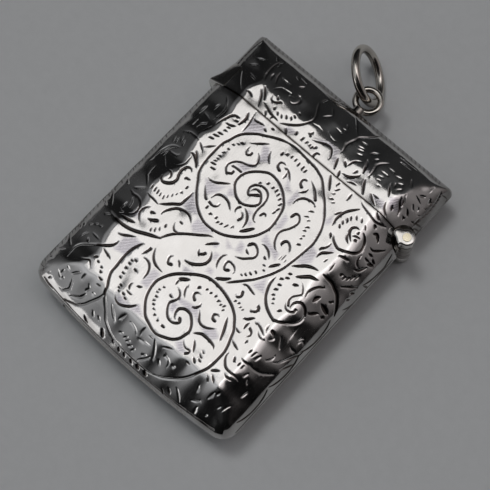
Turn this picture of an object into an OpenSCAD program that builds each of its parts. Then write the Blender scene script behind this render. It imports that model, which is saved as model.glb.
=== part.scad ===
// Vesta case: a pocket match case in sheet silver, pillow shaped, with a lid that swings
// sideways on a hinge in one narrow side, and a suspension ring at the lid end.
// X runs across the faces towards the hinge, Y runs towards the lid end and Z runs from the
// back face to the front face. The origin is the middle of the flat back face.

/* [Case] */
// Width across the two narrow sides
case_w = 35; // [31:0.5:40]
// Length from the middle of the base to the lid end
case_l = 47.5; // [44:0.5:56]
// Thickness from the back face to the front face
case_t = 9; // [8.4:0.1:10]
// How far the rounding of the edges runs in over each face
edge_run = 5.8; // [5.4:0.1:6.4]
// Thickness of the silver sheet
wall = 0.6; // [0.45:0.05:0.75]
// Rise of the bowed base from its middle to its corners
base_bow = 1.2; // [0.8:0.1:2]
// Radius that the blunted base corners follow, seen from the front
base_corner_r = 2.2; // [1.4:0.1:3]
// Corner radius at the lid end, seen from the front
lid_corner_r = 1; // [0.9:0.1:2]

/* [Lid] */
// Depth of the lid from the joint line to the lid end
lid_depth = 10.4; // [9:0.2:14]
// Open joint between the lid and the body
joint_gap = 0.1; // [0.06:0.01:0.16]

/* [Thumbpiece] */
// How far the thumbpiece stands out from the narrow side
thumb_out = 1; // [0.6:0.1:1.4]
// Length of the thumbpiece up the side of the lid
thumb_l = 3.2; // [2.4:0.1:4]
// Width of the thumbpiece across the ridge of the narrow side
thumb_w = 4.8; // [3.8:0.1:5.4]
// Thickness of the thumbpiece at its tip
thumb_tip = 0.5; // [0.3:0.05:0.8]

/* [Bezel] */
// Thickness of the bezel strip inside the mouth
bezel_t = 0.45; // [0.35:0.05:0.6]
// Depth of the bezel inside the body
bezel_depth = 3.5; // [2.5:0.5:5]
// Height of the bezel inside the lid
bezel_rise = 1.6; // [1.2:0.1:2.2]
// Clearance between the bezel and the inside of the lid
bezel_clear = 0.12; // [0.1:0.01:0.2]
// How far the bezel runs over the rounding on the hinge side
bezel_reach = 0.9; // [0.5:0.1:1.5]

/* [Hinge] */
// Distance of the hinge axis in from the narrow side
hinge_inset = 0.3; // [0.1:0.1:0.5]
// Outside diameter of the hinge knuckles
knuckle_d = 2.4; // [2.2:0.05:2.6]
// Diameter of the hinge pin
pin_d = 1.2; // [0.9:0.05:1.4]
// Running clearance between the pin and the lid knuckles, on the radius
pin_clear = 0.04; // [0.02:0.01:0.08]
// Distance of the barrel ends in from the two faces
barrel_inset = 0.5; // [0.3:0.1:0.8]
// Gap between neighbouring knuckles
knuckle_gap = 0.08; // [0.05:0.01:0.15]
// Solder seat between a knuckle and the notch in the wall
seat_t = 0.25; // [0.2:0.05:0.35]
// How far the pin stands out of the barrel at each end
pin_proud = 0.1; // [0.05:0.05:0.3]
// Length of the wing that ties an end knuckle to the body
wing_l = 1.75; // [1.6:0.05:1.9]
// Thickness of that wing
wing_t = 1; // [0.8:0.05:1.1]
// Metal left between the notch and the inside of a hinge bearer
bearer_back = 0.85; // [0.7:0.05:1]
// Depth of a hinge bearer away from the joint line
bearer_depth = 2.2; // [1.8:0.1:2.8]
// Width of a hinge bearer through the thickness of the case
bearer_w = 4.8; // [4.5:0.1:5]

/* [Lid spring] */
// Thickness of the leaf spring
spring_t = 0.3; // [0.2:0.05:0.4]
// Width of the leaf spring
spring_w = 2.8; // [2.2:0.1:3.4]
// Length of the leaf spring
spring_l = 17; // [14:0.5:20]
// Height of the spring tip above the joint line
spring_rise = 1.2; // [0.8:0.1:1.6]
// Clearance between the spring and the hinge bearers
spring_clear = 0.1; // [0.08:0.01:0.15]
// Length of the block that holds the foot of the spring
block_l = 4.4; // [4:0.1:6]
// Diameter of the spring rivets
rivet_d = 0.9; // [0.7:0.05:1]
// Diameter of the rivet heads
rivet_head_d = 1.6; // [1.3:0.1:1.8]
// Thickness of the rivet heads
rivet_head_t = 0.3; // [0.2:0.05:0.4]
// Depth of the rivets in the block
rivet_depth = 0.9; // [0.6:0.1:1]
// Distance between the two rivets
rivet_pitch = 2.2; // [2:0.1:2.4]

/* [Striker] */
// Width of the serrated striker in the base
striker_w = 22; // [16:0.5:24]
// Height of the striker through the thickness of the case
striker_h = 2.4; // [1.8:0.1:2.8]
// Thickness of the striker bar
striker_t = 1.4; // [1.3:0.05:1.8]
// Distance between two serrations
serration_pitch = 0.9; // [0.7:0.05:1.2]
// Depth of the serrations
serration_depth = 0.7; // [0.5:0.05:0.8]

/* [Suspension ring] */
// Outside diameter of the suspension ring
ring_d = 9; // [7.4:0.1:10]
// Wire diameter of the suspension ring
ring_wire = 1.25; // [1:0.05:1.5]
// Angle between the axis of the ring and the vertical as it leans on the table
ring_lean = 59; // [50:1:70]
// Heading of the axis of the ring, from the X axis
ring_heading = 42; // [25:1:45]
// Wire diameter of the fixed loop
loop_wire = 0.85; // [0.6:0.05:0.9]
// Play of the ring's wire in the fixed loop
loop_play = 1.4; // [1.3:0.05:1.8]
// Share of that play by which the ring sits off the middle of the loop
thread_share = 0.2; // [0.1:0.05:0.25]
// Direction in which it sits off the middle, from the X axis
thread_turn = 180; // [110:5:200]
// Diameter of the seat under the loop
seat_d = 1.8; // [1.4:0.1:2.2]
// Gap between the lid end and the loop, filled by the seat
seat_gap = 0.1; // [0.05:0.05:0.3]

/* [Hidden] */
$fn = 96;

// Colours
silver = [0.86, 0.85, 0.83];
worn_silver = [0.74, 0.73, 0.72];
gilt = [0.84, 0.72, 0.45];
steel = [0.55, 0.57, 0.60];
brass = [0.86, 0.77, 0.52];

// Pillow form: each face is flat, then rolls over one arc to the seam at half thickness
half_t = case_t / 2;
mid_z = half_t;
edge_r = (edge_run * edge_run + half_t * half_t) / (2 * half_t);
arc_z = half_t - edge_r;
flat_x = case_w / 2 - edge_run;
lid_y = case_l / 2;
base_y = -case_l / 2;
bow_r = (case_w * case_w / 4 + base_bow * base_bow) / (2 * base_bow);
bow_y = base_y + bow_r;
base_corner_x = case_w / 2 - base_corner_r;
base_corner_reach = bow_r - base_corner_r;
base_corner_y = bow_y - sqrt(base_corner_reach * base_corner_reach - base_corner_x * base_corner_x);
base_corner_turn = 90 - asin(base_corner_x / base_corner_reach);
far = 2 * case_l;

// Joint line and hinge
joint_y = lid_y - lid_depth;
body_edge_y = joint_y - joint_gap / 2;
lid_edge_y = joint_y + joint_gap / 2;
hinge_x = case_w / 2 - hinge_inset;
notch_r = knuckle_d / 2 + seat_t;
barrel_l = case_t - 2 * barrel_inset;
knuckle_count = 5;
knuckle_pitch = barrel_l / knuckle_count;
bearer_x = hinge_x - notch_r - bearer_back;

// Spring, bezel and striker
spring_x = bearer_x - spring_clear - spring_t;
spring_tip_y = joint_y + spring_rise;
spring_foot_y = spring_tip_y - spring_l;
rivet_y = spring_foot_y + block_l / 2;
bezel_end_x = flat_x + bezel_reach;
striker_turn = 2 * asin(striker_w / 2 / bow_r);
serration_turn = 2 * asin(serration_pitch / 2 / bow_r);
serration_count = floor(striker_turn / serration_turn) - 1;

// Ring and loop: the ring leans on the table and its wire passes through the fixed loop
loop_r = (ring_wire + loop_play + loop_wire) / 2;
loop_y = lid_y + seat_gap + loop_r + loop_wire / 2;
ring_r = (ring_d - ring_wire) / 2;
ring_z = ring_r * sin(ring_lean) + ring_wire / 2;
thread_rise = asin((mid_z - ring_z) / (ring_r * sin(ring_lean)));
thread_along = ring_r * cos(thread_rise);
thread_in = ring_r * sin(thread_rise) * cos(ring_lean);
thread_play = thread_share * loop_play;
ring_x = thread_play * cos(thread_turn) - thread_along * sin(ring_heading) + thread_in * cos(ring_heading);
ring_y = loop_y + thread_play * sin(thread_turn) + thread_along * cos(ring_heading)
    + thread_in * sin(ring_heading);

// Half of a section, skin deep under the outside: a flat, then the arc of the edge
module edge_section(flat, skin) {
    intersection() {
        union() {
            if (flat > 0) square([flat, half_t - skin]);
            translate([flat, arc_z]) circle(r = edge_r - skin);
        }
        square([max(flat, 0) + edge_run + 1, case_t]);
    }
}

// Both narrow sides run straight along Y
module long_sides(skin) {
    rotate([90, 0, 0])
        linear_extrude(2 * far, center = true) {
            edge_section(flat_x, skin);
            mirror([1, 0]) edge_section(flat_x, skin);
        }
}

// A slab that ends in a rolled edge, at a distance along X
module rolled_side(reach, skin) {
    translate([-far, 0, 0])
        rotate([90, 0, 0])
            linear_extrude(2 * far, center = true)
                edge_section(far + reach - edge_run, skin);
}

// The lid end runs straight across
module lid_end(skin) { rotate(90) rolled_side(lid_y, skin); }

// The base is bowed
module base_end(skin) {
    translate([0, bow_y, 0])
        rotate_extrude($fn = 720)
            edge_section(bow_r - edge_run, skin);
}

// Each base corner is blunted across the bisector of the side and the base
module base_corner(skin) {
    translate([base_corner_x, base_corner_y, 0])
        rotate(-base_corner_turn / 2)
            rolled_side(base_corner_r, skin);
}

module lid_corner_room() {
    translate([case_w / 2 - lid_corner_r, lid_y - lid_corner_r, -half_t])
        cube([2 * lid_corner_r, 2 * lid_corner_r, 2 * case_t]);
}

module lid_corner(skin) {
    translate([case_w / 2 - lid_corner_r, lid_y - lid_corner_r, 0])
        rotate_extrude(angle = 90)
            edge_section(lid_corner_r - edge_run, skin);
}

// Front half of the closed pillow, with the seam plane at z = 0
module half_pillow(skin) {
    difference() {
        intersection() {
            long_sides(skin);
            lid_end(skin);
            base_end(skin);
            base_corner(skin);
            mirror([1, 0, 0]) base_corner(skin);
        }
        for (side = [0, 1]) mirror([side, 0, 0]) lid_corner_room();
    }
    for (side = [0, 1]) mirror([side, 0, 0]) lid_corner(skin);
}

module whole_pillow() {
    translate([0, 0, mid_z]) {
        half_pillow(0);
        mirror([0, 0, 1]) half_pillow(0);
    }
}

// The straight tube between the narrow sides, skin deep under the outside
module side_tube(skin) {
    translate([0, 0, mid_z]) {
        long_sides(skin);
        mirror([0, 0, 1]) long_sides(skin);
    }
}

module body_room() {
    translate([-far, body_edge_y - 2 * far, -case_t]) cube([2 * far, 2 * far, 3 * case_t]);
}

module lid_room() {
    translate([-far, lid_edge_y, -case_t]) cube([2 * far, 2 * far, 3 * case_t]);
}

// Space for the hinge barrel, cut out of the wall of lid and body
module hinge_notch() {
    translate([hinge_x, joint_y, -case_t]) cylinder(r = notch_r, h = 3 * case_t);
}

module striker_slot() {
    translate([0, bow_y, mid_z - striker_h / 2])
        rotate(-90 - striker_turn / 2)
            rotate_extrude(angle = striker_turn, $fn = 720)
                translate([bow_r - striker_t, 0]) square([2 * striker_t, striker_h]);
}

// One raised sheet of silver: the front half of the hollow pillow
module half_shell() {
    translate([0, 0, mid_z])
        difference() {
            half_pillow(0);
            half_pillow(wall);
        }
}

module turned_over() {
    translate([0, 0, mid_z]) mirror([0, 0, 1]) translate([0, 0, -mid_z]) children();
}

module body_half() {
    difference() {
        intersection() {
            half_shell();
            body_room();
        }
        hinge_notch();
        striker_slot();
    }
}

module lid_half() {
    difference() {
        intersection() {
            half_shell();
            lid_room();
        }
        hinge_notch();
    }
}

module body_front_shell() { color(silver) body_half(); }

module body_back_shell() { color(silver) turned_over() body_half(); }

module lid_front_shell() { color(silver) lid_half(); }

module lid_back_shell() { color(silver) turned_over() lid_half(); }

// Serrated bar let into the base, for striking matches
module striker_bar() {
    color(worn_silver)
        difference() {
            intersection() {
                whole_pillow();
                striker_slot();
            }
            for (i = [0 : serration_count - 1])
                translate([0, bow_y, 0])
                    rotate((i - (serration_count - 1) / 2) * serration_turn)
                        translate([0, -bow_r, 0])
                            linear_extrude(case_t)
                                polygon([
                                    [-serration_pitch / 2, -serration_depth],
                                    [serration_pitch / 2, -serration_depth],
                                    [serration_pitch / 2, 0],
                                    [0, serration_depth],
                                    [-serration_pitch / 2, 0]
                                ]);
        }
}

// Three-sided strip soldered inside the mouth: it stands up into the closed lid
module mouth_bezel() {
    color(gilt) {
        intersection() {
            difference() {
                side_tube(wall);
                side_tube(wall + bezel_t);
            }
            translate([-far, body_edge_y - bezel_depth, -case_t])
                cube([far + bezel_end_x, bezel_depth, 3 * case_t]);
        }
        intersection() {
            difference() {
                side_tube(wall + bezel_clear);
                side_tube(wall + bezel_t);
            }
            translate([-far, body_edge_y, -case_t])
                cube([far + bezel_end_x, bezel_rise, 3 * case_t]);
        }
    }
}

// Strip soldered behind the notch, which gives the knuckles metal to sit in
module hinge_bearer(low_y) {
    color(worn_silver)
        difference() {
            intersection() {
                side_tube(wall);
                translate([bearer_x, low_y, mid_z - bearer_w / 2])
                    cube([case_w, bearer_depth, bearer_w]);
            }
            hinge_notch();
        }
}

module body_hinge_bearer() { hinge_bearer(body_edge_y - bearer_depth); }

module lid_hinge_bearer() { hinge_bearer(lid_edge_y); }

// One knuckle of the barrel with its solder seat: side is 1 for the lid and -1 for the body
module knuckle(place, side, bore_d) {
    low = place == 0 ? 0 : knuckle_gap / 2;
    high = place == knuckle_count - 1 ? 0 : knuckle_gap / 2;
    seat_y = side > 0 ? joint_gap : -joint_gap - notch_r;
    color(silver)
        translate([hinge_x, joint_y, barrel_inset + place * knuckle_pitch + low])
            difference() {
                union() {
                    cylinder(d = knuckle_d, h = knuckle_pitch - low - high);
                    intersection() {
                        cylinder(r = notch_r, h = knuckle_pitch - low - high);
                        translate([-2 * notch_r, seat_y, 0])
                            cube([2 * notch_r, notch_r, knuckle_pitch]);
                    }
                }
                translate([0, 0, -1]) cylinder(d = bore_d, h = knuckle_pitch + 2);
            }
}

// End knuckles of the body also have a wing that lies on the rounding of the shell
module end_knuckle(place) {
    low = place == 0 ? 0 : knuckle_gap / 2;
    high = place == knuckle_count - 1 ? 0 : knuckle_gap / 2;
    knuckle(place, -1, pin_d);
    color(silver)
        difference() {
            translate([
                hinge_x - wing_l, joint_y - joint_gap - wing_t,
                barrel_inset + place * knuckle_pitch + low
            ])
                cube([wing_l, wing_t, knuckle_pitch - low - high]);
            difference() {
                whole_pillow();
                hinge_notch();
            }
            translate([hinge_x, joint_y, -case_t]) cylinder(d = pin_d, h = 3 * case_t);
        }
}

module body_knuckle_back() { end_knuckle(0); }

module lid_knuckle_back() { knuckle(1, 1, pin_d + 2 * pin_clear); }

module body_knuckle_middle() { knuckle(2, -1, pin_d); }

module lid_knuckle_front() { knuckle(3, 1, pin_d + 2 * pin_clear); }

module body_knuckle_front() { end_knuckle(4); }

module hinge_pin() {
    color(brass)
        translate([hinge_x, joint_y, barrel_inset - pin_proud])
            cylinder(d = pin_d, h = barrel_l + 2 * pin_proud);
}

// Rivet hole or shank through the foot of the spring and into its block
module rivet_shanks() {
    for (step = [-0.5, 0.5])
        translate([spring_x, rivet_y + step * rivet_pitch, mid_z])
            rotate([0, 90, 0])
                cylinder(d = rivet_d, h = spring_t + rivet_depth);
}

// Block soldered to the wall inside the body, under the foot of the spring
module spring_block() {
    color(worn_silver)
        difference() {
            intersection() {
                side_tube(wall);
                translate([spring_x + spring_t, spring_foot_y, mid_z - spring_w / 2])
                    cube([case_w, block_l, spring_w]);
            }
            rivet_shanks();
        }
}

// Leaf spring: its tip bears on the lid's hinge bearer and snaps the lid shut
module lid_spring() {
    color(steel)
        difference() {
            translate([spring_x, spring_foot_y, mid_z - spring_w / 2])
                cube([spring_t, spring_l, spring_w]);
            rivet_shanks();
        }
}

module spring_rivets() {
    color(worn_silver) {
        rivet_shanks();
        for (step = [-0.5, 0.5])
            translate([spring_x - rivet_head_t, rivet_y + step * rivet_pitch, mid_z])
                rotate([0, 90, 0])
                    cylinder(d = rivet_head_d, h = rivet_head_t);
    }
}

// Half-moon lip soldered to the side of the lid: it flares out along Y to a thin tip
module thumbpiece() {
    flare_l = thumb_l - thumb_tip;
    flare_r = (thumb_out * thumb_out + flare_l * flare_l) / (2 * thumb_out);
    moon_r = (thumb_out * thumb_out + thumb_w * thumb_w / 4) / (2 * thumb_out);
    color(silver)
        difference() {
            intersection() {
                translate([0, lid_edge_y, 0])
                    linear_extrude(case_t)
                        difference() {
                            translate([-case_w / 2 - thumb_out, 0])
                                square([thumb_out + edge_run / 2, thumb_l]);
                            translate([-case_w / 2 - flare_r, thumb_l]) circle(r = flare_r);
                        }
                translate([-case_w / 2 - thumb_out + moon_r, lid_edge_y - thumb_l, mid_z])
                    rotate([-90, 0, 0])
                        cylinder(r = moon_r, h = 3 * thumb_l);
            }
            whole_pillow();
        }
}

module wire_ring(r, wire) {
    rotate_extrude() translate([r, 0]) circle(d = wire);
}

module placed_loop() {
    translate([0, loop_y, mid_z]) wire_ring(loop_r, loop_wire);
}

// Seat that ties the loop to the middle of the lid end
module loop_seat() {
    color(worn_silver)
        difference() {
            translate([0, lid_y - seat_d / 2, mid_z])
                rotate([-90, 0, 0])
                    cylinder(d = seat_d, h = seat_d / 2 + seat_gap + loop_wire / 2);
            whole_pillow();
            placed_loop();
        }
}

module ring_loop() { color(silver) placed_loop(); }

module suspension_ring() {
    color(silver)
        translate([ring_x, ring_y, ring_z])
            rotate([0, ring_lean, ring_heading])
                wire_ring(ring_r, ring_wire);
}

body_front_shell();
body_back_shell();
striker_bar();
mouth_bezel();
body_hinge_bearer();
body_knuckle_back();
body_knuckle_middle();
body_knuckle_front();
hinge_pin();
spring_block();
lid_spring();
spring_rivets();
lid_front_shell();
lid_back_shell();
thumbpiece();
lid_hinge_bearer();
lid_knuckle_back();
lid_knuckle_front();
loop_seat();
ring_loop();
suspension_ring();
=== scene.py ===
import math
import bmesh
import bpy
import numpy as np
from mathutils import Matrix, Vector


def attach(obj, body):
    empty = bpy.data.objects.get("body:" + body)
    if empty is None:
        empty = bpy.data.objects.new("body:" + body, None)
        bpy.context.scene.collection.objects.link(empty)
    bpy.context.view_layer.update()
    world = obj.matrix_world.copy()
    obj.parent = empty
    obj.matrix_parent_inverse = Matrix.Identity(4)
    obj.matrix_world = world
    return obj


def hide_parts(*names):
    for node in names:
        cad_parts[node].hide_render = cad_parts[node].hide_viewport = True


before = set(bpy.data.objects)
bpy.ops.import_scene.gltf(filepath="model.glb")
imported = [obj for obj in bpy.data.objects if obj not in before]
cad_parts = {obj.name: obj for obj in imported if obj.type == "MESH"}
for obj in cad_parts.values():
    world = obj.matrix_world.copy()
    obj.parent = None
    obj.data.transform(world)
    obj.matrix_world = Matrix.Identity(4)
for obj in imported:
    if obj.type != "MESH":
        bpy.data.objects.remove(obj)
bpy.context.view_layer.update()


# Body sheets: the front and the back of the body are two silver sheets raised alike into a shallow
# pillow, rolled over at the sides and the base, and soldered together along the seam at half
# thickness. Both are engraved by hand all over with scrolls and leaves, and are gilt inside.
mm = 0.001
thick = 9.0
sheet = 0.6
side_x, end_y = 17.5, 23.75
roll_run, seam_drop = 5.8, thick / 2
roll_r = (roll_run**2 + seam_drop**2) / (2 * seam_drop)
roll_turn = math.asin(roll_run / roll_r)
flat_x, flat_y = side_x - roll_run, end_y - roll_run
side_u, end_v = flat_x + roll_r * roll_turn, flat_y + roll_r * roll_turn
base_corner, lid_corner = 2.2, 1.0
base_bow_r = 128.2
hip_soft = 0.9
mouth_y, joint_gap = 13.35, 0.07
hinge_x, notch_r, notch_reach = 17.2, 2.1, 2.35
slot_x, slot_z, slot_start = 11.0, 5.7, 23.0

# Sections of the rolled edges, each as shares of the roll's run with the drops below the face.
left_section = (0,0, .05,.01, .1,.06, .155,.16, .224,.33, .31,.57, .466,1.04, .603,1.5, .741,2.05,
                .82,2.42, .89,2.9, .94,3.4, .97,3.9, 1,4.5)
right_section = (0,0, .06,.008, .11,.03, .155,.08, .224,.22, .31,.48, .466,1, .603,1.5, .741,2.05,
                 .82,2.45, .89,2.95, .94,3.45, .97,3.92, 1,4.5)
base_section = (0,0, .06,.008, .11,.04, .155,.11, .224,.28, .31,.53, .466,1.02, .603,1.5, .741,2,
                .85,2.47, .94,2.93, .97,3.25, .988,3.75, 1,4.5)
lid_section = (-.26,0, -.2,.02, -.13,.08, -.04,.2, .08,.38, .22,.6, .39,.93, .56,1.35, .68,1.76,
               .76,2.14, .85,2.72, .92,3.35, .965,3.93, 1,4.5)
# Waves that the hammer left in the faces, each as its height, how fast it turns along u and along v,
# and where it starts.
uneven = [(.016, .8, .5, 0), (.014, -.7, .55, 1), (.012, 1.1, .1, 2), (.010, .3, 1.3, .4),
          (.006, 1.7, -.9, 1.5), (.005, -1.2, 1.9, 2.6), (.004, 2.3, 1.1, .8)]

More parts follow.
